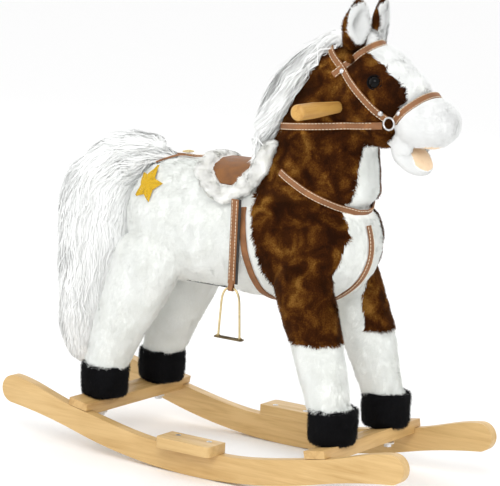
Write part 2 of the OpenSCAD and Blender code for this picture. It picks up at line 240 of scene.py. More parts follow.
def pile(name, stops, sheen, tint, blotch=34.0):
    """The standing hairs of a pile cloth, with the mottling of the cloth below (in brown, its golden patches are
    painted sheen) and no bump of their own.
    """
    material, tree, shader = new_material(name)
    at = own_coordinates(tree)
    mottle = add(tree, noise(tree, at, blotch, 4, 0.6), noise(tree, at, 420, 2), 0.35)
    tree.links.new(ramp(tree, mottle, stops), shader.inputs["Base Color"])
    shader.inputs["Roughness"].default_value = 0.75
    set_sheen(shader, sheen, tint)
    return material


def timber(name, light, dark, along, pores=0.0002):
    """Planed wood with its grain along one axis (0, 1 or 2)."""
    material, tree, shader = new_material(name)
    stretch = [1.0, 1.0, 1.0]
    stretch[along] = 0.07
    at = own_coordinates(tree, stretch)
    figure = add(tree, noise(tree, at, 60, 5, 1.6), noise(tree, at, 420, 3, 0.4), 0.4)
    middle = tuple((a + b) / 2 for a, b in zip(light, dark))
    colour = ramp(tree, figure, [(0.42, dark), (0.6, middle), (0.82, light)])
    broad = ramp(tree, noise(tree, own_coordinates(tree), 7, 2), [(0.35, (0.9, 0.88, 0.84)), (0.7, (1, 1, 1))])
    tree.links.new(mix(tree, 1.0, colour, broad, "MULTIPLY"), shader.inputs["Base Color"])
    tree.links.new(ramp(tree, figure, [(0.4, (0.62,) * 3), (0.8, (0.44,) * 3)]), shader.inputs["Roughness"])
    bump(tree, shader, figure, pores)
    return material


def hide(name, light, dark, grain=900.0, depth=0.00035, rough=0.5):
    """Leather: pebbled grain, mottled colour, and painted shade that darkens the creases between the pebbles."""
    material, tree, shader = new_material(name)
    at = own_coordinates(tree)
    pebbles = cells(tree, at, grain)
    wear = noise(tree, at, 46, 5, 1.0)
    colour = ramp(tree, wear, [(0.32, dark), (0.7, light)])
    # painted shade: the colour is darkened in the creases between the pebbles, where the grain's hollows fall into
    # shade
    shade = ramp(tree, pebbles, [(0.0, (0.62, 0.56, 0.5)), (0.16, (1, 1, 1))])
    tree.links.new(mix(tree, 0.55, colour, shade, "MULTIPLY"), shader.inputs["Base Color"])
    tree.links.new(ramp(tree, wear, [(0.3, (rough,) * 3), (0.75, (rough + 0.18,) * 3)]),
                   shader.inputs["Roughness"])
    bump(tree, shader, add(tree, pebbles, noise(tree, at, 240, 3), 0.5), depth)
    return material


def metal(name, colour, rough, smudge=0.12):
    material, tree, shader = new_material(name)
    at = own_coordinates(tree)
    haze = noise(tree, at, 130, 4, 0.5)
    worn = tuple(c * 0.72 for c in colour)
    tree.links.new(ramp(tree, haze, [(0.3, worn), (0.62, colour)]), shader.inputs["Base Color"])
    tree.links.new(ramp(tree, haze, [(0.3, (rough + smudge,) * 3), (0.7, (rough,) * 3)]),
                   shader.inputs["Roughness"])
    shader.inputs["Metallic"].default_value = 1.0
    bump(tree, shader, noise(tree, at, 900, 2), 0.00004)
    return material


def plastic(name, colour, rough):
    material, tree, shader = new_material(name)
    at = own_coordinates(tree)
    speck = noise(tree, at, 1400, 2)
    worn = tuple(c * 0.8 for c in colour)
    tree.links.new(ramp(tree, noise(tree, at, 90, 3), [(0.35, worn), (0.65, colour)]),
                   shader.inputs["Base Color"])
    tree.links.new(ramp(tree, speck, [(0.3, (rough + 0.12,) * 3), (0.7, (rough,) * 3)]),
                   shader.inputs["Roughness"])
    bump(tree, shader, speck, 0.00006)
    return material


def thread(name, light, dark):
    """Spun thread, with its twist as fine bands."""
    material, tree, shader = new_material(name)
    at = own_coordinates(tree)
    twist = noise(tree, at, 1500, 2)
    tree.links.new(ramp(tree, twist, [(0.35, dark), (0.65, light)]), shader.inputs["Base Color"])
    shader.inputs["Roughness"].default_value = 0.7
    set_sheen(shader, 0.3, light)
    bump(tree, shader, twist, 0.0001)
    return material


WHITE_STOPS = [(0.3, (0.8, 0.82, 0.78)), (0.5, (0.87, 0.89, 0.85)), (0.75, (0.92, 0.94, 0.91))]
SNOW_STOPS = [(0.3, (0.85, 0.86, 0.85)), (0.5, (0.92, 0.93, 0.92)), (0.75, (0.96, 0.97, 0.96))]
# Brown pile: the darker stops are the cloth's own brown, and the lightest, golden stop is painted sheen, the pile's
# highlights put into its colour
BROWN_AND_SHEEN_STOPS = [(0.5, (0.024, 0.0055, 0.0005)), (0.66, (0.06, 0.015, 0.0012)), (0.78, (0.15, 0.052, 0.006)),
               (0.94, (0.4, 0.19, 0.035))]
BLACK_STOPS = [(0.35, (0.002, 0.002, 0.002)), (0.7, (0.006, 0.006, 0.007))]
PEACH_STOPS = [(0.3, (0.72, 0.5, 0.31)), (0.7, (0.84, 0.64, 0.43))]
FLEECE_STOPS = [(0.3, (0.82, 0.82, 0.76)), (0.5, (0.9, 0.9, 0.85)), (0.75, (0.94, 0.94, 0.91))]

M = {
    "rocker_wood": timber("rocker_wood", (0.68, 0.46, 0.2), (0.53, 0.33, 0.12), 0),
    "slat_wood": timber("slat_wood", (0.62, 0.4, 0.16), (0.45, 0.26, 0.085), 1),
    "frame_wood": timber("frame_wood", (0.6, 0.42, 0.22), (0.44, 0.28, 0.13), 2),
    "handle_wood": timber("handle_wood", (0.6, 0.34, 0.085), (0.42, 0.2, 0.04), 1),
    "steel": metal("steel", (0.72, 0.72, 0.73), 0.24),
    "brass": metal("brass", (0.7, 0.56, 0.3), 0.26),
    "bronze": metal("bronze", (0.24, 0.18, 0.1), 0.36),
    "white_plastic": plastic("white_plastic", (0.88, 0.88, 0.86), 0.42),
    "black_plastic": plastic("black_plastic", (0.03, 0.03, 0.034), 0.4),
    "white_plush": plush("white_plush", WHITE_STOPS, 0.25, (1, 1, 1), 20),
    "white_pile": pile("white_pile", WHITE_STOPS, 0.25, (1, 1, 1), 20),
    "snow_plush": plush("snow_plush", SNOW_STOPS, 0.2, (1, 1, 1), 20),
    "snow_pile": pile("snow_pile", SNOW_STOPS, 0.2, (1, 1, 1), 20),
    "brown_plush": plush("brown_plush", BROWN_AND_SHEEN_STOPS, 0.06, (0.9, 0.45, 0.12)),
    "brown_pile": pile("brown_pile", BROWN_AND_SHEEN_STOPS, 0.06, (0.9, 0.45, 0.12)),
    "black_plush": plush("black_plush", BLACK_STOPS, 0.02, (0.5, 0.5, 0.5)),
    "black_pile": pile("black_pile", BLACK_STOPS, 0.02, (0.5, 0.5, 0.5)),
    "fleece": plush("fleece", FLEECE_STOPS, 0.4, (1, 1, 1), 60, 0.002),
    "fleece_pile": pile("fleece_pile", FLEECE_STOPS, 0.4, (1, 1, 1), 60),
    "peach_felt": plush("peach_felt", PEACH_STOPS, 0.3, (1, 0.9, 0.8), 60, 0.0004),
    "gold_thread": thread("gold_thread", (0.72, 0.47, 0.04), (0.5, 0.28, 0.012)),
    "cream_thread": thread("cream_thread", (0.9, 0.82, 0.66), (0.66, 0.55, 0.4)),
    "eye": plastic("eye", (0.002, 0.0015, 0.0015), 0.04),
    "saddle_leather": hide("saddle_leather", (0.27, 0.105, 0.022), (0.18, 0.066, 0.012), 900, 0.0002, 0.5),
    "strap_leather": hide("strap_leather", (0.32, 0.135, 0.045), (0.2, 0.078, 0.022), 1300, 0.00015, 0.5),
    "dark_strap": hide("dark_strap", (0.03, 0.027, 0.025), (0.012, 0.011, 0.01), 1500, 0.0002, 0.6),
}


M["eye"].node_tree.nodes["Principled BSDF"].inputs["Specular IOR Level"].default_value = 0.12


# ---------------------------------------------------------------- meshes

def unit(v):
    return v / np.maximum(np.linalg.norm(v, axis=-1, keepdims=True), 1e-9)


def ripple(points, wavelength, seed):
    """A smooth field, about -1 to 1, of sines in random directions."""
    rng = np.random.default_rng(seed)
    total = np.zeros(len(points))
    for _ in range(6):
        way = unit(rng.normal(size=3))
        rate = 2 * math.pi / wavelength * rng.uniform(0.7, 1.4)
        total += np.sin(points @ way * rate + rng.uniform(0, 2 * math.pi))
    return total / 3


def drift(points, wavelength, seed):
    return np.stack([ripple(points, wavelength, seed + k) for k in range(3)], axis=1)


def new_object(name, vertices, faces, smooth=True):
    mesh = bpy.data.meshes.new(name)
    mesh.from_pydata(np.asarray(vertices, float).tolist(), [], [list(map(int, f)) for f in faces])
    mesh.update()
    if smooth:
        mesh.polygons.foreach_set("use_smooth", [True] * len(mesh.polygons))
    piece = bpy.data.objects.new(name, mesh)
    bpy.context.scene.collection.objects.link(piece)
    return piece


def points_of(piece):
    co = np.zeros(len(piece.data.vertices) * 3)
    piece.data.vertices.foreach_get("co", co)
    return co.reshape(-1, 3)


def normals_of(piece):
    n = np.zeros(len(piece.data.vertices) * 3)
    piece.data.vertices.foreach_get("normal", n)
    return n.reshape(-1, 3)


def move_points(piece, points):
    piece.data.vertices.foreach_set("co", np.asarray(points, float).ravel())
    piece.data.update()


def triangles_of(piece):
    piece.data.calc_loop_triangles()
    t = np.zeros(len(piece.data.loop_triangles) * 3, int)
    piece.data.loop_triangles.foreach_get("vertices", t)
    return t.reshape(-1, 3)


def faces_of(piece):
    return [tuple(p.vertices) for p in piece.data.polygons]


def tree_of(*pieces):
    """One search tree over these pieces' surfaces."""
    points, faces = [], []
    for piece in pieces:
        base = len(points)
        points += [Vector(p) for p in points_of(piece)]
        faces += [tuple(int(i) + base for i in t) for t in triangles_of(piece)]
    return BVHTree.FromPolygons(points, faces)


def freeze(piece):
    """Applies a piece's modifiers."""
    graph = bpy.context.evaluated_depsgraph_get()
    mesh = bpy.data.meshes.new_from_object(piece.evaluated_get(graph))
    piece.modifiers.clear()
    old = piece.data
    piece.data = mesh
    bpy.data.meshes.remove(old)
    return piece


def cad_copy(name, nodes, grow=0.0):
    """One new piece holding welded copies of CAD nodes, each grown by a little."""
    whole = bmesh.new()
    for node in nodes:
        part = bmesh.new()
        part.from_mesh(frame["nodes"][node].data)
        bmesh.ops.remove_doubles(part, verts=part.verts, dist=2e-6)
        part.normal_update()
        for v in part.verts:
            v.co += v.normal * grow
        scratch = bpy.data.meshes.new("scratch")
        part.to_mesh(scratch)
        part.free()
        whole.from_mesh(scratch)
        bpy.data.meshes.remove(scratch)
    mesh = bpy.data.meshes.new(name)
    whole.to_mesh(mesh)
    whole.free()
    mesh.materials.clear()
    piece = bpy.data.objects.new(name, mesh)
    bpy.context.scene.collection.objects.link(piece)
    return piece


def keep_largest(piece):
    """Drops every closed bubble but the largest."""
    bm = bmesh.new()
    bm.from_mesh(piece.data)
    bm.verts.ensure_lookup_table()
    label = [-1] * len(bm.verts)
    sizes = []
    for start in bm.verts:
        if label[start.index] >= 0:
            continue
        label[start.index] = len(sizes)
        stack = [start]
        count = 0
        while stack:
            v = stack.pop()
            count += 1
            for e in v.link_edges:
                w = e.other_vert(v)
                if label[w.index] < 0:
                    label[w.index] = len(sizes)
                    stack.append(w)
        sizes.append(count)
    best = sizes.index(max(sizes))
    bmesh.ops.delete(bm, geom=[v for v in bm.verts if label[v.index] != best], context="VERTS")
    bm.to_mesh(piece.data)
    bm.free()
    return piece


def remeshed(piece, voxel, smooth_steps=8, factor=0.5):
    remesh = piece.modifiers.new("remesh", "REMESH")
    remesh.mode = "VOXEL"
    remesh.voxel_size = voxel
    if smooth_steps:
        smooth = piece.modifiers.new("smooth", "SMOOTH")
        smooth.factor = factor
        smooth.iterations = smooth_steps
    freeze(piece)
    keep_largest(piece)
    piece.data.polygons.foreach_set("use_smooth", [True] * len(piece.data.polygons))
    return piece


def lumpy(piece, heights, seed):
    """Pushes the surface in and out: heights is a list of (wavelength, height)."""
    points = points_of(piece)
    push = sum(ripple(points, w, seed + i) * h for i, (w, h) in enumerate(heights))
    move_points(piece, points + normals_of(piece) * push[:, None])
    return piece


def part_of(piece, name, chosen):
    """A new piece holding the chosen faces of another."""
    faces = [f for f, keep in zip(faces_of(piece), chosen) if keep]
    used = sorted({i for f in faces for i in f})
    index = {v: k for k, v in enumerate(used)}
    points = points_of(piece)[used]
    return new_object(name, points, [[index[i] for i in f] for f in faces])


def centres_of(piece):
    c = np.zeros(len(piece.data.polygons) * 3)
    piece.data.polygons.foreach_get("center", c)
    return c.reshape(-1, 3)


def finished(piece, material, slot, body, *nodes):
    """Gives a piece its material and body, and hides the CAD nodes that it stands for. The slot argument is not
    used.
    """
    if material is not None:
        piece.data.materials.clear()
        piece.data.materials.append(M[material])
    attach(piece, body)
    if nodes:
        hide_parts(*nodes)
    return piece


# ---------------------------------------------------------------- hair

def set_strand_map(mesh, strands, loops_each):
    """A map with one small cell for each strand, so that a bake needs no unwrapping."""
    side = int(math.ceil(math.sqrt(strands)))
    k = np.arange(strands)
    corner = np.stack([k % side, k // side], axis=1) / side
    inner = np.array([[0.25, 0.25], [0.75, 0.25], [0.5, 0.75]]) / side
    spread = inner[np.arange(loops_each) % 3]
    uv = (corner[:, None, :] + spread[None]).reshape(-1)
    layer = mesh.uv_layers.new(name="OFBake")
    layer.data.foreach_set("uv", uv.astype(np.float32))


def ribbons(name, rows, sides, widths, normals):
    """Tapered ribbons that face out. rows is strands x steps x 3, and each ribbon ends in a point."""
    count, steps, _ = rows.shape
    facing = (np.cross(sides, rows[:, -1] - rows[:, 0]) * normals).sum(1)
    sides = sides * np.where(facing < 0, -1.0, 1.0)[:, None]
    per = 2 * (steps - 1) + 1
    vertices = np.zeros((count, per, 3))
    for k in range(steps - 1):
        half = sides * (widths * (1 - 0.35 * k / steps))[:, None] / 2
        vertices[:, 2 * k] = rows[:, k] - half
        vertices[:, 2 * k + 1] = rows[:, k] + half
    vertices[:, -1] = rows[:, -1]
    pattern = []
    for k in range(steps - 2):
        a = 2 * k
        pattern += [(a, a + 1, a + 3), (a, a + 3, a + 2)]
    pattern.append((per - 3, per - 2, per - 1))
    pattern = np.array(pattern)
    faces = (pattern[None] + (np.arange(count) * per)[:, None, None]).reshape(-1, 3)
    mesh = bpy.data.meshes.new(name)
    mesh.vertices.add(count * per)
    mesh.vertices.foreach_set("co", vertices.ravel())
    mesh.loops.add(len(faces) * 3)
    mesh.loops.foreach_set("vertex_index", faces.ravel())
    mesh.polygons.add(len(faces))
    mesh.polygons.foreach_set("loop_start", np.arange(len(faces)) * 3)
    mesh.update(calc_edges=True)
    mesh.polygons.foreach_set("use_smooth", [True] * len(faces))
    set_strand_map(mesh, count, len(pattern) * 3)
    each = np.repeat(normals[:, None, :], per, axis=1).reshape(-1, 3)
    mesh.normals_split_custom_set_from_vertices(unit(each).tolist())
    piece = bpy.data.objects.new(name, mesh)
    bpy.context.scene.collection.objects.link(piece)
    return piece


def scattered(surface, count, rng):
    """Random places on a surface, with its smooth normals."""
    points = points_of(surface)
    normals = normals_of(surface)
    t = triangles_of(surface)
    a, b, c = points[t[:, 0]], points[t[:, 1]], points[t[:, 2]]
    area = np.linalg.norm(np.cross(b - a, c - a), axis=1)
    pick = rng.choice(len(t), count, p=area / area.sum())
    u, v = rng.random(count), rng.random(count)
    over = u + v > 1
    u[over], v[over] = 1 - u[over], 1 - v[over]
    w = 1 - u - v
    place = a[pick] * w[:, None] + b[pick] * u[:, None] + c[pick] * v[:, None]
    n = (normals[t[pick, 0]] * w[:, None] + normals[t[pick, 1]] * u[:, None]
         + normals[t[pick, 2]] * v[:, None])
    return place, unit(n)


def far_from(places, tree, reach):
    """Which places are further than reach from a search tree's surface."""
    return np.array([tree.find_nearest(Vector(p), reach)[0] is None for p in places], bool)


def short_pile(name, surface, count, length, width, comb, seed, stand=0.5, allowed=None, clear=()):
    """Standing hairs on a surface, leaning along comb. clear lists (search tree, reach) to stay away from."""
    rng = np.random.default_rng(seed)
    place, n = scattered(surface, count, rng)
    keep = np.ones(len(place), bool) if allowed is None else allowed(place)
    place, n = place[keep], n[keep]
    way = np.asarray(comb(place), float) + 0.45 * drift(place, 0.03, seed + 11)
    way += rng.normal(scale=0.3, size=way.shape)
    along = unit(way - n * (way * n).sum(1)[:, None])
    size = length * rng.uniform(0.7, 1.2, len(place)) * (1 + 0.2 * ripple(place, 0.04, seed + 5))
    lean = unit(n * stand + along * (1 - stand))
    tip = place + lean * size[:, None]
    for tree, reach in clear:
        ok = far_from(place, tree, reach)
        ok[ok] = far_from(tip[ok], tree, reach * 0.6)
        place, n, along, size, lean, tip = (q[ok] for q in (place, n, along, size, lean, tip))
    root = place - n * 0.0006
    turn = rng.uniform(-0.45, 0.45, len(place))[:, None]
    flat = unit(np.cross(lean, n))
    side = unit(flat * np.cos(turn) + np.cross(lean, flat) * np.sin(turn))
    widths = width * rng.uniform(0.7, 1.3, len(place))
    shade = unit(n + 0.15 * lean + rng.normal(scale=0.06, size=n.shape))
    return ribbons(name, np.stack([root, tip], axis=1), side, widths, shade)


def long_hair(name, surface, count, length, width, comb, seed, steps=5, lift=0.004, curl=0.0, zone=None,
              clear=()):
    """Long locks that lie along a surface and lift off at their ends, all inside zone and clear of clear."""
    rng = np.random.default_rng(seed)
    place, n = scattered(surface, count, rng)
    tree = tree_of(surface)
    size = length * rng.uniform(0.6, 1.15, len(place))
    stray = rng.normal(scale=0.1, size=place.shape)
    height = lift * rng.uniform(-0.4, 1.0, len(place))
    rows = [place - n * 0.001]
    at = place.copy()
    first_n = n.copy()
    for k in range(1, steps):
        share = k / (steps - 1)
        way = np.asarray(comb(at), float) + curl * drift(at, 0.035, seed + 31) + stray
        along = unit(way - n * (way * n).sum(1)[:, None] * (1 - 0.5 * share))
        at = at + along * (size / (steps - 1))[:, None]
        near = [tree.find_nearest(Vector(p)) for p in at]
        on = np.array([tuple(q[0]) for q in near])
        n = np.array([tuple(q[1]) for q in near])
        rise = height * (0.4 + 1.2 * share * share)
        gap = ((at - on) * n).sum(1)
        rise = np.where(gap > rise, np.minimum(gap, 0.012), rise)
        at = on + n * rise[:, None] + (at - on - n * gap[:, None]) * 0.9
        rows.append(at.copy())
    rows = np.stack(rows, axis=1)
    ok = np.ones(len(rows), bool)
    if zone is not None:
        ok = zone(rows.reshape(-1, 3)).reshape(len(rows), steps).all(axis=1)
    for tree_, reach in clear:
        for k in range(steps):
            ok[ok] = far_from(rows[ok, k], tree_, reach)
    rows, first_n = rows[ok], first_n[ok]
    run = unit(rows[:, -1] - rows[:, 0])
    side = unit(np.cross(run, first_n) + rng.normal(scale=0.15, size=run.shape))
    widths = width * rng.uniform(0.6, 1.3, len(rows))
    return ribbons(name, rows, side, widths, unit(first_n + rng.normal(scale=0.05, size=first_n.shape)))


# ---------------------------------------------------------------- swept and turned forms

def smoothed(values, times=2):
    values = np.array(values, float)
    for _ in range(times):
        inner = (values[:-2] + 2 * values[1:-1] + values[2:]) / 4
        values[1:-1] = inner
    return values


def sweep(name, path, across, out, profile, closed=False):
    """A profile of (across, out) pairs carried along a path."""
    path, across, out = (np.asarray(q, float) for q in (path, across, out))
    profile = np.asarray(profile, float)
    count, ring = len(path), len(profile)
    rings = [path[k] + across[k] * profile[:, :1] + out[k] * profile[:, 1:] for k in range(count)]
    faces = []
    for k in range(count if closed else count - 1):
        for j in range(ring):
            a, b = k * ring + j, k * ring + (j + 1) % ring
            c, d = (k + 1) % count * ring + (j + 1) % ring, (k + 1) % count * ring + j
            faces.append((a, b, c, d))
    if not closed:
        faces.append(tuple(reversed(range(ring))))
        faces.append(tuple(range((count - 1) * ring, count * ring)))
    piece = new_object(name, np.concatenate(rings), faces)
    bm = bmesh.new()
    bm.from_mesh(piece.data)
    bmesh.ops.recalc_face_normals(bm, faces=bm.faces)
    bm.to_mesh(piece.data)
    bm.free()
    piece.data.set_sharp_from_angle(angle=math.radians(50))
    return piece


def frames_along(path, first_out):
    """For each path point, a steady pair of directions square to the path."""
    path = np.asarray(path, float)
    ways = unit(np.gradient(path, axis=0))
    out = np.asarray(first_out, float)
    outs, acrosses = [], []
    for way in ways:
        out = unit(out - way * (out @ way))
        outs.append(out)
        acrosses.append(np.cross(way, out))
    return np.array(acrosses), np.array(outs)


def tube(name, path, radius, first_out=(0, 0, 1), sides=12, closed=False):
    across, out = frames_along(path, first_out)
    turn = np.arange(sides) * 2 * math.pi / sides
    profile = np.stack([np.cos(turn), np.sin(turn)], axis=1) * radius
    return sweep(name, path, across, out, profile, closed)


def curve_through(points, per_span=8):
    """A smooth path through a few points."""
    p = np.asarray(points, float)
    p = np.vstack([2 * p[0] - p[1], p, 2 * p[-1] - p[-2]])
    made = []
    for k in range(1, len(p) - 2):
        for t in np.arange(per_span) / per_span:
            a, b, c, d = p[k - 1], p[k], p[k + 1], p[k + 2]
            made.append(0.5 * (2 * b + (c - a) * t + (2 * a - 5 * b + 4 * c - d) * t * t
                               + (3 * b - a - 3 * c + d) * t ** 3))
    made.append(p[-2])
    return np.array(made)


def turned(name, outline, place, axis, sides=40):
    """A form turned on a lathe: outline is (radius, height) pairs along axis."""
    turn = Vector(axis).to_track_quat("Z", "Y").to_matrix()
    vertices, faces = [], []
    for r, h in outline:
        for k in range(sides):
            a = 2 * math.pi * k / sides
            vertices.append(Vector(place) + turn @ Vector((r * math.cos(a), r * math.sin(a), h)))
    for i in range(len(outline) - 1):
        for k in range(sides):
            j = (k + 1) % sides
            faces.append((i * sides + k, i * sides + j, (i + 1) * sides + j, (i + 1) * sides + k))
    faces.append(tuple(reversed(range(sides))))
    faces.append(tuple(range((len(outline) - 1) * sides, len(outline) * sides)))
    piece = new_object(name, vertices, faces)
    piece.data.set_sharp_from_angle(angle=math.radians(45))
    return piece


def joined(name, pieces):
    """One piece made of several, each keeping its own material."""
    bpy.ops.object.select_all(action="DESELECT")
    for piece in pieces:
        piece.select_set(True)
    bpy.context.view_layer.objects.active = pieces[0]
    if len(pieces) > 1:
        bpy.ops.object.join()
    pieces[0].name = name
    pieces[0].data.name = name
    return pieces[0]


def softened(node, width, segments=3):
    """A welded copy of a CAD node with its edges rounded."""
    piece = cad_copy(node + "_rounded", [node])
    bm = bmesh.new()
    bm.from_mesh(piece.data)
    bmesh.ops.dissolve_limit(bm, angle_limit=math.radians(0.4), verts=bm.verts, edges=bm.edges)
    bm.to_mesh(piece.data)
    bm.free()
    bevel = piece.modifiers.new("round", "BEVEL")
    bevel.width = width
    bevel.segments = segments
    bevel.limit_method = "ANGLE"
    bevel.angle_limit = math.radians(40)
    freeze(piece)
    piece.data.polygons.foreach_set("use_smooth", [True] * len(piece.data.polygons))
    piece.data.set_sharp_from_angle(angle=math.radians(35))
    return piece


# ---------------------------------------------------------------- the sewn cover

FRONT_LEGS = ["leg_front_right", "leg_front_left"]
REAR_LEGS = ["leg_rear_right", "leg_rear_left"]
SOCK_TOP = 0.230
BACK_EDGE = [(0.0, 0.088), (0.260, 0.094), (0.291, 0.097), (0.314, 0.078), (0.353, 0.066),
             (0.383, 0.058), (0.417, 0.049), (0.459, 0.046), (0.560, 0.040)]
CHEST_HALF = [(0.230, 0.036), (0.285, 0.046), (0.300, 0.052), (0.334, 0.056), (0.375, 0.049),
              (0.390, 0.041), (0.430, 0.036), (0.457, 0.032), (0.497, 0.025), (0.528, 0.017), (0.575, 0.002)]
BLAZE_HALF = [(0.190, 0.018), (0.206, 0.026), (0.233, 0.034), (0.261, 0.034), (0.287, 0.029), (0.32, 0.028)]
NOSEBAND = ((0.282, 0, 0.581), 46)
CHEEK_STRAP = ((0.210, 0, 0.607), -41)
BROWBAND = ((0.196, 0, 0.660), 44)
REIN_LINE = ((0.180, 0, 0.553), 5.8)
BREAST_LINE = ((0.150, 0, 0.449), -28)
GIRTH_LINE = ((0.046, 0, 0.350), 100)


def along_table(values, table):
    return np.interp(values, [a for a, b in table], [b for a, b in table])


def is_brown(p):
    """Where the cover is brown: neck, shoulders, head and the upper front legs, less the white panels."""
    x, y, z = np.abs(p[:, 0]) * np.sign(p[:, 0]), np.abs(p[:, 1]), p[:, 2]
    brown = (x > along_table(z, BACK_EDGE)) & (z > SOCK_TOP)
    brown |= (z > 0.50) & (x > 0.0)
    chest = (np.abs(p[:, 1] + 0.004) < along_table(z, CHEST_HALF)) & (x > 0.15) & (z < 0.525)
    belly = (y < 0.042) & (z < 0.315)
    blaze = (y < along_table(x, BLAZE_HALF)) & (x > 0.19) & (z > 0.59)
    (nx, _, nz), tilt = NOSEBAND
    tilt = math.radians(tilt)
    ahead = (x - nx) * math.sin(tilt) - (z - nz) * math.cos(tilt)
    nose = (ahead > 0.004) & (z > 0.560) & (x > 0.262)
    return brown & ~(chest | belly | blaze | nose)


def egg(name, middle, radii, lean=0.0):
    """A closed ellipsoid, leaning nose down by an angle."""
    bpy.ops.mesh.primitive_uv_sphere_add(segments=48, ring_count=32, radius=1.0, location=middle,
                                         rotation=(0, lean, 0), scale=radii)
    piece = bpy.context.object
    bpy.ops.object.transform_apply(location=True, rotation=True, scale=True)
    piece.name = name
    return piece


def make_cover():
    nodes = ["torso_plush", "neck_plush", "head_plush"] + FRONT_LEGS + REAR_LEGS
    throat = egg("throat", (0.225, 0, 0.549), (0.034, 0.033, 0.027))
    dock = cad_copy("dock", ["tail_motor"], 0.0055)
    cover = remeshed(joined("cover", [cad_copy("cover", nodes, 0.0005), throat, dock]), 0.004, 12)
    lumpy(cover, [(0.07, 0.0012), (0.022, 0.0006)], 3)
    move_points(cover, points_of(cover) - normals_of(cover) * 0.0016)
    return cover


def comb_body(p):
    """The lie of the pile: back and down on the body, down the legs, back from the nose on the head."""
    way = np.tile(np.array([-0.35, 0.0, -1.0]), (len(p), 1))
    head = (p[:, 2] > 0.56) & (p[:, 0] > 0.17)
    way[head] = (-0.9, 0.0, -0.5)
    return way


cover = make_cover()
folds = [egg("fold", (0.276, side * 0.027, 0.534), (0.019, 0.0085, 0.023), math.radians(24)) for side in (-1, 1)]
muzzle_whole = remeshed(joined("muzzle_whole", [cad_copy("muzzle_whole", ["muzzle_plush"])] + folds), 0.0016, 30)
lumpy(muzzle_whole, [(0.05, 0.0006)], 21)
move_points(muzzle_whole, points_of(muzzle_whole) - normals_of(muzzle_whole) * 0.0012)
cover_tree = tree_of(cover, muzzle_whole)


def on_cover(start, way, lift):
    """Where a ray first meets the soft body, lifted off it, with the direction out of it."""
    hit, n = cover_tree.ray_cast(Vector(start), Vector(way), 1.0)[:2]
    if hit is None:
        hit, n = cover_tree.find_nearest(Vector(start))[:2]
    return hit + n * lift, n


brown_faces = is_brown(centres_of(cover))
cover_brown = part_of(cover, "cover_brown", brown_faces)
cover_white = part_of(cover, "cover_white", ~brown_faces)


# ---------------------------------------------------------------- straps

STRAP_PROFILE = [(-1, -0.5), (-1, 0.15), (-0.9, 0.42), (-0.6, 0.5), (0, 0.54), (0.6, 0.5), (0.9, 0.42),
                 (1, 0.15), (1, -0.5), (0, -0.55)]
STRAP_T = 0.0024
TACK_W = 0.011


def section(tree, line, start, end, steps, lift):
    """Where a tilted plane cuts the horse, from one angle to another (degrees, 0 ahead): points, across, out."""
    at, tilt = line
    a = math.radians(tilt)
    ahead = Vector((math.cos(a), 0, math.sin(a)))
    across = Vector((-math.sin(a), 0, math.cos(a)))
    points = []
    for k in range(steps + 1):
        t = math.radians(start + (end - start) * k / steps)
        way = ahead * math.cos(t) + Vector((0, 1, 0)) * math.sin(t)
        hit = tree.ray_cast(Vector(at) + way * 0.35, -way, 0.5)[0]
        if hit is not None:
            points.append(tuple(hit))
    points = smoothed(points, 3)
    acrosses = np.tile(np.array(across), (len(points), 1))
    outs = unit(np.cross(acrosses, np.gradient(points, axis=0)))
    middle = np.array(at)
    outs *= np.sign(((points - middle) * outs).sum(1))[:, None]
    return points + outs * lift, acrosses, outs


def strap(name, run, width, material="strap_leather", thick=STRAP_T):
    points, across, out = run
    profile = np.array(STRAP_PROFILE) * (width / 2, thick)
    piece = sweep(name, points, across, out, profile)
    piece.data.materials.append(M[material])
    return piece


def stitch_mesh(run, offset, height, radius=0.00055, length=0.0042, gap=0.0012):
    """Vertices and faces of one row of sunken stitches along a strap."""
    points, across, out = run
    line = points + across * offset + out * height
    reach = np.concatenate([[0], np.cumsum(np.linalg.norm(np.diff(line, axis=0), axis=1))])
    sides, rings = 6, 5
    vertices, faces = [], []
    for start in np.arange(0.002, reach[-1] - length, length + gap):
        s = start + np.linspace(0, length, rings)
        middle = np.stack([np.interp(s, reach, line[:, i]) for i in range(3)], axis=1)
        up = np.stack([np.interp(s, reach, out[:, i]) for i in range(3)], axis=1)
        over = np.stack([np.interp(s, reach, across[:, i]) for i in range(3)], axis=1)
        swell = np.sin(np.linspace(0.25, math.pi - 0.25, rings))
        base = len(vertices)
        for k in range(rings):
            for j in range(sides):
                a = 2 * math.pi * j / sides
                r = radius * (0.45 + 0.55 * swell[k])
                lift = up[k] * (math.sin(a) * r + (swell[k] - 0.6) * 0.0005)
                vertices.append(middle[k] + lift + over[k] * math.cos(a) * r)
        for k in range(rings - 1):
            for j in range(sides):
                a, b = base + k * sides + j, base + k * sides + (j + 1) % sides
                faces.append((a, b, b + sides, a + sides))
        faces.append(tuple(base + j for j in reversed(range(sides))))
        faces.append(tuple(base + (rings - 1) * sides + j for j in range(sides)))
    return vertices, faces


def stitches(name, runs, width, inset=0.0012, thick=STRAP_T):
    vertices, faces = [], []
    for run in runs:
        for side in (-1, 1):
            v, f = stitch_mesh(run, side * (width / 2 - inset), thick * 0.5)
            base = len(vertices)
            vertices += v
            faces += [tuple(i + base for i in face) for face in f]
    return new_object(name, vertices, faces)


def rivet(name, place, axis, radius=0.0045):
    outline = [(radius, -0.0008), (radius, 0.0004), (radius * 0.86, 0.0012), (radius * 0.5, 0.0018),
               (radius * 0.12, 0.002)]
    piece = turned(name, outline, place, axis, 24)
    piece.data.materials.append(M["steel"])
    return piece


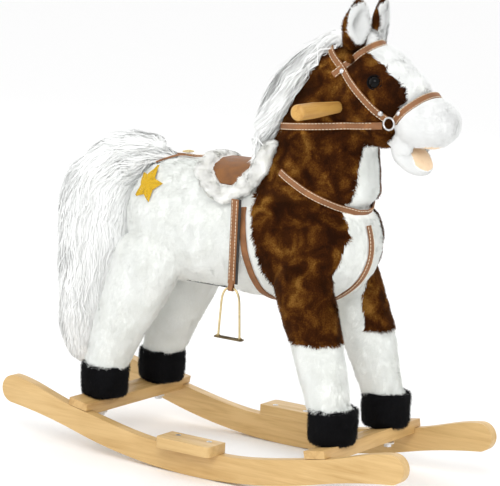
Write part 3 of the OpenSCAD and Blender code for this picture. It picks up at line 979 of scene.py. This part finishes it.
def make_tack():
    lift = 0.0042
    soft_tree = cover_tree
    runs = {
        "cheek_strap": section(soft_tree, CHEEK_STRAP, 34, 326, 90, lift),
        "browband": section(soft_tree, BROWBAND, -138, 138, 80, lift),
        "noseband": section(soft_tree, NOSEBAND, -112, 112, 60, lift),
    }
    bridle = joined("bridle_straps", [strap(n, run, TACK_W) for n, run in runs.items()])
    finished(bridle, None, "leather", "horse", "bridle")
    finished(stitches("bridle_stitching", runs.values(), TACK_W), "cream_thread", "leather", "horse")
    rein_runs = [section(soft_tree, REIN_LINE, side * 28, side * 150, 70, lift + 0.001) for side in (-1, 1)]
    reins = joined("rein_straps", [strap("rein", run, TACK_W) for run in rein_runs])
    finished(reins, None, "leather", "horse", "reins")
    sewn = [tuple(q[5:] for q in run) for run in rein_runs]
    finished(stitches("rein_stitching", sewn, TACK_W), "cream_thread", "leather", "horse")
    breast = section(soft_tree, BREAST_LINE, -128, 128, 100, lift)
    finished(strap("breast_strap_piece", breast, TACK_W), None, "leather", "horse", "breast_strap")
    finished(stitches("breast_stitching", [breast], TACK_W), "cream_thread", "leather", "horse")
    girth = section(soft_tree, GIRTH_LINE, 50, 310, 130, 0.0036)
    finished(strap("girth_piece", girth, TACK_W, thick=0.002), None, "leather", "horse", "girth_strap")
    return runs, rein_runs, breast


tack_runs, rein_runs, breast_run = make_tack()


# ---------------------------------------------------------------- head pieces

JAW_HINGE = Vector((0.238, 0, 0.540))
JAW_DROP = math.radians(34)


def split_by(piece, names, first, materials, slots, body, nodes):
    """Cuts a piece in two by a choice of faces, and finishes both halves."""
    halves = [part_of(piece, names[0], first), part_of(piece, names[1], ~first)]
    for half, material, slot in zip(halves, materials, slots):
        finished(half, material, slot, body, *nodes)
    bpy.data.objects.remove(piece)
    return halves


def face_normals(piece):
    n = np.zeros(len(piece.data.polygons) * 3)
    piece.data.polygons.foreach_get("normal", n)
    return n.reshape(-1, 3)


def make_muzzle(whole):
    n, c = face_normals(whole), centres_of(whole)
    inner = (n[:, 2] < -0.8) & (c[:, 2] < 0.55) & (np.abs(c[:, 1]) < 0.03)
    names = ("mouth_lining", "muzzle_cover")
    halves = split_by(whole, names, inner, ("peach_felt", "snow_plush"), ("white_plush", "white_plush"),
                      "horse", ["muzzle_plush"])
    return halves[1]


def make_jaw():
    whole = remeshed(cad_copy("jaw_whole", ["jaw_plush"]), 0.0015, 12)
    lumpy(whole, [(0.03, 0.0005)], 25)
    up = np.array([math.sin(JAW_DROP), 0, math.cos(JAW_DROP)])
    c = centres_of(whole)
    across = np.abs(c[:, 1]) / 0.024
    inner = (face_normals(whole) @ up > 0.3 + 0.25 * across ** 2) & (across < 1) & (c[:, 0] > 0.262)
    names = ("jaw_lining", "jaw_cover")
    halves = split_by(whole, names, inner, ("peach_felt", "snow_plush"), ("white_plush", "white_plush"),
                      "jaw", ["jaw_plush"])
    return halves[1]


def make_button_cover():
    """The ear button is felt through the plush, so a brown cap stands over it."""
    low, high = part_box("ear_button")
    middle = (low + high) / 2
    cap = egg("button_cap", (middle.x, high.y - 0.004, middle.z), (0.0085, 0.0045, 0.0085))
    return finished(cap, "brown_plush", "brown_plush", "ear_button", "ear_button")


def make_forelock():
    """The tuft of white pile that comes up between the ears."""
    tuft = egg("forelock", (0.176, 0, 0.670), (0.024, 0.019, 0.026), math.radians(20))
    hair = long_hair("forelock_hair", tuft, 5000, 0.022, 0.0018, comb_forelock, 57, 4, 0.003, 0.3)
    finished(tuft, "snow_plush", "long_fur", "horse")
    finished(hair, "snow_pile", "long_fur", "horse")


EAR_TILT = math.radians(4)
EAR_TURN = math.radians(14)


def ear_local(p, side):
    """Points in one ear's own directions: depth, width, height."""
    q = p - np.array([0.186, side * 0.033, 0.668])
    t = side * EAR_TURN
    x, y = q[:, 0] * math.cos(t) + q[:, 1] * math.sin(t), -q[:, 0] * math.sin(t) + q[:, 1] * math.cos(t)
    x, z = x * math.cos(EAR_TILT) - q[:, 2] * math.sin(EAR_TILT), q[:, 2] + x * math.sin(EAR_TILT)
    return np.stack([x, y, z], axis=1)


def make_ear(side, word):
    whole = remeshed(cad_copy("ear_whole_" + word, ["ear_" + word]), 0.0013, 9)
    local = ear_local(centres_of(whole), side)
    dish = (local[:, 1] / 0.0215) ** 2 + ((local[:, 2] - 0.036) / 0.031) ** 2 < 1
    front = face_normals(whole)[:, 0] * math.cos(EAR_TURN) > -0.05
    names = ("ear_face_" + word, "ear_back_" + word)
    return split_by(whole, names, dish & front, ("snow_plush", "brown_plush"),
                    ("white_plush", "brown_plush"), "horse", ["ear_" + word])


def make_eyes():
    low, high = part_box("eyes")
    radius = (high.x - low.x) / 2
    made = []
    for side in (-1, 1):
        middle = Vector(((low.x + high.x) / 2, side * (high.y - radius), (low.z + high.z) / 2))
        out = Vector((0.34, side * 0.93, 0.12)).normalized()
        arc = [(radius * 1.02 * math.sin(a), radius * 1.02 * math.cos(a)) for a in np.linspace(1.75, 0.02, 22)]
        ball = turned("eye_ball", arc, middle, out, 48)
        ball.data.materials.append(M["eye"])
        made.append(ball)
    finished(joined("eye_domes", made), None, "eye", "horse", "eyes")
    lids = []
    for side in (-1, 1):
        middle = Vector(((low.x + high.x) / 2, side * (high.y - radius), (low.z + high.z) / 2))
        out = Vector((0.34, side * 0.93, 0.12)).normalized()
        turn = out.to_track_quat("Z", "Y").to_matrix()
        ring = [middle + turn @ Vector((radius * math.cos(a), radius * math.sin(a), radius * 0.28))
                for a in np.linspace(0, 2 * math.pi, 49)[:-1]]
        outs = [unit(np.array(p - middle)) for p in ring]
        across = [np.array(out)] * len(ring)
        loop = sweep("lid", ring, across, outs,
                     [(0.0018 * math.cos(a), 0.0018 * math.sin(a)) for a in np.linspace(0, 2 * math.pi, 13)[:-1]],
                     closed=True)
        lids.append(loop)
    finished(joined("eye_lids", lids), "black_plush", "brown_plush", "horse")


# ---------------------------------------------------------------- mane, forelock and tail

TAIL_LINE = np.array([(-0.196, 0, 0.478), (-0.250, 0, 0.470), (-0.296, 0, 0.425), (-0.312, 0, 0.350),
                      (-0.314, 0, 0.260), (-0.316, 0, 0.170), (-0.319, 0, 0.105)])


def comb_tail(p):
    """Along the tail's middle line, spreading a little as it falls."""
    line = curve_through(TAIL_LINE, 10)
    ways = unit(np.gradient(line, axis=0))
    near = ((p[:, None, :] - line[None]) ** 2).sum(2).argmin(1)
    return ways[near] + 0.12 * unit(p - line[near])


def comb_mane(p):
    """Down from the crest to either side, and a little back."""
    side = np.clip(p[:, 1] / 0.03, -1, 1)
    return np.stack([np.full(len(p), -0.45), 0.55 * side, np.full(len(p), -1.0)], axis=1)


def comb_forelock(p):
    side = np.clip(p[:, 1] / 0.02, -1, 1)
    return np.stack([np.full(len(p), 1.0), 0.25 * side, np.full(len(p), 0.25)], axis=1)


def reach_to_rump(core):
    """Swells the tail's front towards the rump, to close the gap between them."""
    points, normals = points_of(core), normals_of(core)
    for k in np.flatnonzero(normals[:, 0] > 0.05):
        hit = cover_tree.ray_cast(Vector(points[k]), Vector((1, 0, 0)), 0.06)[0]
        if hit is not None:
            gap = hit.x - points[k, 0] - 0.007
            points[k, 0] += max(0.0, min(gap, 0.03)) * min(1.0, normals[k, 0] * 1.6)
    move_points(core, points)


def make_tail():
    root = egg("tail_root", (-0.196, 0, 0.474), (0.024, 0.020, 0.019))
    core = remeshed(joined("tail_body", [cad_copy("tail_body", ["tail_plush"]), root]), 0.004, 10)
    lumpy(core, [(0.05, 0.002)], 41)
    move_points(core, points_of(core) - normals_of(core) * 0.003)
    reach_to_rump(core)
    hair = long_hair("tail_hair", core, 27000, 0.07, 0.0027, comb_tail, 42, 5, 0.005, 0.25)
    wisps = long_hair("tail_wisps", core, 4000, 0.08, 0.0015, comb_tail, 43, 5, 0.012, 0.45)
    finished(core, "snow_plush", "long_fur", "tail", "tail_plush")
    finished(hair, "snow_pile", "long_fur", "tail")
    finished(wisps, "snow_pile", "long_fur", "tail")


def above_saddle(p):
    """Where mane hair may lie: it stops short of the saddle's seat."""
    return p[:, 0] > np.interp(p[:, 2], [0.50, 0.56, 0.60], [0.040, 0.026, -1.0])


def make_mane(clear):
    core = remeshed(cad_copy("mane_body", ["mane"]), 0.004, 10)
    points = points_of(core)
    low = np.clip((0.600 - points[:, 2]) / 0.06, 0, 1)
    points[:, 0] += 0.95 * low * np.maximum(0, 0.048 - points[:, 0])
    move_points(core, points)
    lumpy(core, [(0.05, 0.002)], 51)
    move_points(core, points_of(core) - normals_of(core) * 0.002)
    hair = long_hair("mane_hair", core, 26000, 0.065, 0.0025, comb_mane, 52, 5, 0.004, 0.25, above_saddle, clear)
    wisps = long_hair("mane_wisps", core, 3000, 0.07, 0.0014, comb_mane, 53, 5, 0.009, 0.45, above_saddle, clear)
    finished(core, "snow_plush", "long_fur", "horse", "mane")
    finished(hair, "snow_pile", "long_fur", "horse")
    finished(wisps, "snow_pile", "long_fur", "horse")


# ---------------------------------------------------------------- hooves

def make_hooves():
    made = []
    for leg in FRONT_LEGS + REAR_LEGS:
        low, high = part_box(leg)
        side = -1 if leg.endswith("right") else 1
        x = 0.212 if "front" in leg else -0.217
        outline = [(0.026, 0.0805), (0.0325, 0.081), (0.0352, 0.085), (0.0364, 0.092), (0.0366, 0.110),
                   (0.0369, 0.124), (0.0364, 0.1295), (0.0345, 0.1325), (0.031, 0.1325), (0.026, 0.130)]
        hoof = turned("hoof_" + leg[4:], outline, (x, side * 0.077, 0), (0, 0, 1), 64)
        lumpy(hoof, [(0.03, 0.0007), (0.012, 0.0004)], 61 + len(made))
        finished(hoof, "black_plush", "black_plush", "horse")
        made.append(hoof)
    return made


# ---------------------------------------------------------------- saddle

def puffed(piece, pressure, cap, frames=20):
    """Swells a closed piece by cloth simulation under inner pressure, moving no point further than cap."""
    before = points_of(piece)
    cloth = piece.modifiers.new("cloth", "CLOTH")
    settings = cloth.settings
    settings.use_pressure = True
    settings.uniform_pressure_force = pressure
    settings.effector_weights.gravity = 0
    settings.tension_stiffness = 12
    settings.compression_stiffness = 12
    settings.bending_stiffness = 1.2
    settings.quality = 5
    for k in range(1, frames + 1):
        bpy.context.scene.frame_set(k)
    freeze(piece)
    after = points_of(piece)
    shift = after - before
    size = np.linalg.norm(shift, axis=1, keepdims=True)
    move_points(piece, before + shift * np.minimum(1, cap / np.maximum(size, 1e-9)))
    bpy.context.scene.frame_set(1)
    return piece


def make_saddle():
    seat = remeshed(cad_copy("saddle_seat_pad", ["saddle_seat"]), 0.0022, 4)
    puffed(seat, 3.0, 0.004)
    lumpy(seat, [(0.05, 0.0003)], 71)
    finished(seat, "saddle_leather", "leather", "horse", "saddle_seat")
    fleece = remeshed(cad_copy("saddle_fleece_roll", ["saddle_fleece"]), 0.0035, 8)
    puffed(fleece, 4.0, 0.005)
    lumpy(fleece, [(0.03, 0.0005)], 73)
    finished(fleece, "fleece", "fleece", "horse", "saddle_fleece")
    curls = short_pile("saddle_fleece_curls", fleece, 60000, 0.005, 0.0014, lambda p: drift(p, 0.016, 5), 75,
                       0.35, None, [(tree_of(seat), 0.0035)])
    finished(curls, "fleece_pile", "fleece", "horse")
    return seat, fleece


# ---------------------------------------------------------------- timber base and hardware

def make_base():
    for side in ("right", "left"):
        finished(softened("rocker_" + side, 0.0028), "rocker_wood", "rocker_wood", "horse", "rocker_" + side)
        finished(softened("pedal_" + side, 0.0016), "rocker_wood", "rocker_wood", "horse", "pedal_" + side)
    for end in ("front", "rear"):
        finished(softened(end + "_slat", 0.0016), "slat_wood", "slat_wood", "horse", end + "_slat")


def make_stirrup(side, word):
    """A wire arch with round shoulders and a ribbed tread, on its hanging strap."""
    low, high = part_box("stirrup_" + word)
    strap_low, strap_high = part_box("stirrup_strap_" + word)
    x, y = (low.x + high.x) / 2, (low.y + high.y) / 2
    top, tread_top = high.z - 0.0019, low.z + 0.004
    wire = [(x, y, top), (x + 0.006, y, top), (x + 0.0115, y, top - 0.0045), (x + 0.0158, y, top - 0.016),
            (x + 0.0178, y, top - 0.042), (x + 0.0198, y, tread_top - 0.0015)]
    half = curve_through(wire, 7)
    other = half[::-1] * np.array([-1, 1, 1]) + np.array([2 * x, 0, 0])
    arch = tube("arch", np.vstack([other[:-1], half]), 0.0017, (0, 1, 0), 12)
    arch.data.materials.append(M["brass"])
    feet = []
    for s in (-1, 1):
        foot = turned("foot", [(0.0016, -0.0008), (0.0034, -0.0006), (0.0036, 0.0004), (0.0026, 0.0014),
                               (0.0018, 0.0018)], (x + s * 0.0199, y, tread_top), (0, 0, 1), 20)
        foot.data.materials.append(M["brass"])
        feet.append(foot)
    ribs = [(math.cos(a) * 0.0065, math.sin(a) * 0.0019 + (0.0002 if k % 2 else 0.0))
            for k, a in enumerate(np.linspace(0, 2 * math.pi, 29)[:-1])]
    xs = np.concatenate([[-0.0247, -0.0243], np.linspace(-0.0235, 0.0235, 40), [0.0243, 0.0247]])
    sizes = np.concatenate([[0.7, 0.9], np.where(np.arange(40) % 3 == 0, 0.94, 1.0), [0.9, 0.7]])
    path = np.stack([x + xs, np.full(len(xs), y), np.full(len(xs), tread_top - 0.002)], axis=1)
    across = np.tile([0, 1.0, 0], (len(xs), 1)) * sizes[:, None]
    out = np.tile([0, 0, 1.0], (len(xs), 1)) * sizes[:, None]
    tread = sweep("tread", path, across, out, ribs)
    tread.data.materials.append(M["bronze"])
    whole = joined("stirrup_iron_" + word, [arch, tread] + feet)
    finished(whole, None, "brass", "stirrup_" + word, "stirrup_" + word)
    x = (strap_low.x + strap_high.x) / 2
    width = strap_high.x - strap_low.x
    levels = np.linspace(strap_high.z, strap_low.z + 0.012, 24)
    path = np.stack([np.full(24, x), np.full(24, y), levels], axis=1)
    across = np.tile([1.0, 0, 0], (24, 1))
    out = np.tile([0, float(side), 0], (24, 1))
    run = (path, across, out)
    web = strap("web", run, width * 0.72, thick=0.0026)
    beside = path + np.array([width * 0.38, -side * 0.0012, 0])
    webbing = strap("webbing", (beside, across, out), width * 0.4, "dark_strap", 0.0014)
    low_z = strap_low.z + 0.0045
    loop = [(x, y - side * 0.0012, low_z + 0.014)]
    loop += [(x, y - side * 0.0034 * math.sin(a), low_z - 0.0034 * math.cos(a)) for a in np.linspace(2.4, -2.4, 15)]
    loop += [(x, y + side * 0.0012, low_z + 0.014)]
    loop_path = np.array(loop)
    loop_across = np.tile([1.0, 0, 0], (len(loop), 1))
    loop_out = unit(np.cross(np.gradient(loop_path, axis=0), loop_across))
    tongue = sweep("tongue", loop_path, loop_across, loop_out,
                   [(-0.004, -0.0006), (-0.004, 0.0006), (0, 0.0008), (0.004, 0.0006), (0.004, -0.0006)])
    tongue.data.materials.append(M["strap_leather"])
    body = "strap_" + word
    finished(joined("stirrup_leather_" + word, [web, webbing, tongue]), None, "leather", body,
             "stirrup_strap_" + word)
    finished(stitches("stirrup_stitching_" + word, [run], width * 0.72, 0.0026, 0.0026), "cream_thread", "leather", body)


RIVETS = ((0.177, 0.633), (0.245, 0.580), (0.281, 0.581))


def make_hardware():
    rivets = []
    for x, z in RIVETS:
        for side in (-1, 1):
            place, n = on_cover((x, side * 0.2, z), (0, -side, 0), 0.0058)
            rivets.append(rivet("rivet", place, n, 0.0042))
    finished(joined("bridle_rivets", rivets), None, "steel", "horse")
    low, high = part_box("crupper_buckle")
    x, z = (low.x + high.x) / 2, (low.z + high.z) / 2 + 0.002
    half_x, half_y = (high.x - low.x) / 2 - 0.001, (high.y - low.y) / 2 - 0.001
    ring = []
    for k in range(48):
        a = 2 * math.pi * k / 48
        c, s = math.cos(a), math.sin(a)
        ring.append((x + half_x * math.copysign(abs(c) ** 0.45, c), half_y * math.copysign(abs(s) ** 0.45, s), z))
    frame_ring = tube("frame_ring", np.array(ring), 0.0013, (0, 0, 1), 10, closed=True)
    bar_ = tube("bar", np.array([(x, -half_y, z), (x, 0, z), (x, half_y, z)]), 0.0011, (0, 0, 1), 10)
    tongue = tube("prong", np.array([(x, 0, z), (x + half_x * 0.6, 0, z + 0.0012), (x + half_x, 0, z + 0.001)]),
                  0.0009, (0, 0, 1), 8)
    for piece in (frame_ring, bar_, tongue):
        piece.data.materials.append(M["brass"])
    finished(joined("crupper_buckle_piece", [frame_ring, bar_, tongue]), None, "brass", "horse",
             "crupper_buckle")


def make_crupper():
    """The strap along the rump: it runs from the saddle, through its buckle, and splits round the dock."""
    def over(points, lift):
        made = []
        for px, py in points:
            made.append(on_cover((px, py, 0.8), (0, 0, -1), lift)[0])
        return np.array(made)
    single = curve_through(over([(-0.092 - 0.006 * k, 0) for k in range(8)], 0.0045), 4)
    runs = [single]
    for side in (-1, 1):
        route = [(-0.132, side * 0.002), (-0.145, side * 0.006), (-0.158, side * 0.013), (-0.172, side * 0.020)]
        runs.append(curve_through(over(route, 0.0045), 6))
    pieces = []
    made = []
    for k, path in enumerate(runs):
        ways = unit(np.gradient(path, axis=0))
        out = unit(np.tile([0, 0, 1.0], (len(path), 1)) - ways * ways[:, 2:3])
        across = np.cross(ways, out)
        width = 0.010 if k == 0 else 0.006
        pieces.append(strap("crupper", (path, across, out), width, thick=0.0026))
        made.append((path, across, out))
    finished(joined("crupper_straps", pieces), None, "leather", "horse", "crupper_strap")
    finished(stitches("crupper_stitching", made[:1], 0.010), "cream_thread", "leather", "horse")
    return made


def make_chest_tail(run):
    """The strap from the breast strap down between the front legs to the girth."""
    path = []
    for z in np.linspace(0.402, 0.300, 22):
        path.append(on_cover((0.5, -0.012, z), (-1, 0, 0), 0.0042)[0])
    for x in np.linspace(0.16, 0.05, 16):
        path.append(on_cover((x, -0.004, 0.2), (0, 0, 1), 0.0042)[0])
    path = smoothed(np.array([tuple(p) for p in path]), 12)
    ways = unit(np.gradient(path, axis=0))
    outs = []
    for p, way in zip(path, ways):
        _, n, _, _ = cover_tree.find_nearest(Vector(p))
        n = np.array(n)
        outs.append(unit(n - way * (n @ way)))
    outs = smoothed(outs, 6)
    across = np.cross(ways, outs)
    piece = strap("chest_strap_piece", (path, across, outs), TACK_W)
    finished(piece, None, "leather", "horse")
    finished(stitches("chest_stitching", [(path, across, outs)], TACK_W), "cream_thread", "leather", "horse")


STAR_MIDDLE = (-0.152, 0.424)
STAR_R = 0.028
STAR_TURN = math.radians(-62)


def make_star():
    """An embroidered star sewn on the near rump: satin stitches in five folded points."""
    def sewn(u, v, lift):
        return on_cover((STAR_MIDDLE[0] + u, -0.3, STAR_MIDDLE[1] + v), (0, 1, 0), lift)[0]
    corners = []
    for k in range(10):
        a = STAR_TURN + math.pi * k / 5
        r = STAR_R if k % 2 == 0 else STAR_R * 0.52
        corners.append((r * math.cos(a), r * math.sin(a)))
    vertices, faces = [], []
    steps, rows = 14, 14
    for k in range(10):
        (ax, ay), (bx, by) = corners[k], corners[(k + 1) % 10]
        base = len(vertices)
        for i in range(rows + 1):
            for j in range(steps + 1):
                s, t = i / rows, j / steps
                u, v = s * (ax + (bx - ax) * t), s * (ay + (by - ay) * t)
                tall = 0.0062 + 0.0012 * (1 - s) + 0.0006 * math.sin(s * 46 + t * 3) * (0.3 + s)
                if i == rows:
                    tall = 0.0035
                vertices.append(sewn(u, v, tall))
        for i in range(rows):
            for j in range(steps):
                a = base + i * (steps + 1) + j
                faces.append((a, a + 1, a + steps + 2, a + steps + 1))
    star = new_object("embroidered_star", vertices, faces)
    bm = bmesh.new()
    bm.from_mesh(star.data)
    bmesh.ops.remove_doubles(bm, verts=bm.verts, dist=0.0002)
    bmesh.ops.recalc_face_normals(bm, faces=bm.faces)
    bm.to_mesh(star.data)
    bm.free()
    if np.mean(normals_of(star)[:, 1]) > 0:
        star.data.flip_normals()
    finished(star, "gold_thread", "gold_thread", "horse")
    return tree_of(star)


SLOT_LOOK = {"long_fur": "snow_plush", "leather": "strap_leather"}


def dress_cad_nodes():
    """Gives every CAD node that stays its own procedural material, by the record's slots."""
    for part in frame["record"]["subparts"]:
        node = frame["nodes"][part["node"]]
        slot = part["material_slot"]
        for holder in node.material_slots:
            holder.link = "OBJECT"
            holder.material = M[SLOT_LOOK.get(slot, slot)]


# ---------------------------------------------------------------- the pile of the cover

def make_pile(straps, star):
    clear = [(straps, 0.0042), (star, 0.0035)]

    def off_hooves(p):
        return p[:, 2] > 0.131

    def white_body(p):
        return off_hooves(p) & ~((p[:, 2] > 0.59) & (p[:, 0] > 0.19))

    def white_head(p):
        return (p[:, 2] > 0.59) & (p[:, 0] > 0.19)

    white = short_pile("white_body_pile", cover_white, 190000, 0.006, 0.0014, comb_body, 81, 0.32,
                       white_body, clear)
    finished(white, "white_pile", "white_plush", "horse")
    brown = short_pile("brown_pile", cover_brown, 170000, 0.0075, 0.0013, comb_body, 83, 0.38, off_hooves, clear)
    finished(brown, "brown_pile", "brown_plush", "horse")
    blaze = short_pile("blaze_pile", cover_white, 190000, 0.007, 0.0014, comb_body, 85, 0.35, white_head, clear)
    finished(blaze, "snow_pile", "white_plush", "horse")


make_camera()
make_studio()
dress_cad_nodes()
muzzle = make_muzzle(muzzle_whole)
jaw = make_jaw()
button_cap = make_button_cover()
ears = [make_ear(-1, "right"), make_ear(1, "left")]
make_eyes()
hooves = make_hooves()
seat, fleece = make_saddle()
make_base()
make_stirrup(-1, "right")
make_stirrup(1, "left")
make_hardware()
make_crupper()
make_chest_tail(breast_run)
star_tree = make_star()
strap_names = ["bridle_straps", "rein_straps", "breast_strap_piece", "girth_piece", "chest_strap_piece",
               "crupper_straps"]
strap_tree = tree_of(*[bpy.data.objects[n] for n in strap_names])
make_tail()
make_mane([(tree_of(bpy.data.objects["rein_straps"], bpy.data.objects["bridle_straps"]), 0.003),
           (tree_of(seat), 0.009)])
make_forelock()
make_pile(strap_tree, star_tree)
muzzle_pile = short_pile("muzzle_pile", muzzle, 40000, 0.0045, 0.0013,
                         lambda p: np.tile([-0.8, 0, -0.5], (len(p), 1)), 91, 0.3, None, [(strap_tree, 0.003)])
finished(muzzle_pile, "snow_pile", "white_plush", "horse")
jaw_pile = short_pile("jaw_pile", jaw, 16000, 0.0035, 0.0012, lambda p: np.tile([-0.8, 0, -0.5], (len(p), 1)),
                      93, 0.3)
finished(jaw_pile, "snow_pile", "white_plush", "jaw")
cap_pile = short_pile("button_cap_pile", button_cap, 1500, 0.004, 0.0012,
                      lambda p: np.tile([-0.9, 0, -0.5], (len(p), 1)), 94, 0.35)
finished(cap_pile, "brown_pile", "brown_plush", "ear_button")
for (face, back), word in zip(ears, ("right", "left")):
    tufts = short_pile("ear_face_pile_" + word, face, 3500, 0.007, 0.0011,
                       lambda p: np.tile([0.2, 0, 1.0], (len(p), 1)), 95, 0.45)
    finished(tufts, "snow_pile", "white_plush", "horse")
    tufts = short_pile("ear_back_pile_" + word, back, 8000, 0.006, 0.0011,
                       lambda p: np.tile([0.0, 0, 1.0], (len(p), 1)), 96, 0.4)
    finished(tufts, "brown_pile", "brown_plush", "horse")
for hoof in hooves:
    cuff = short_pile(hoof.name + "_pile", hoof, 9000, 0.005, 0.0011,
                      lambda p: np.tile([0.0, 0, -1.0], (len(p), 1)), 97, 0.45)
    finished(cuff, "black_pile", "black_plush", "horse")
finished(cover_white, "white_plush", "white_plush", "horse", "torso_plush", *REAR_LEGS)
finished(cover_brown, "brown_plush", "brown_plush", "horse", "neck_plush", "head_plush", *FRONT_LEGS)
bpy.data.objects.remove(cover)
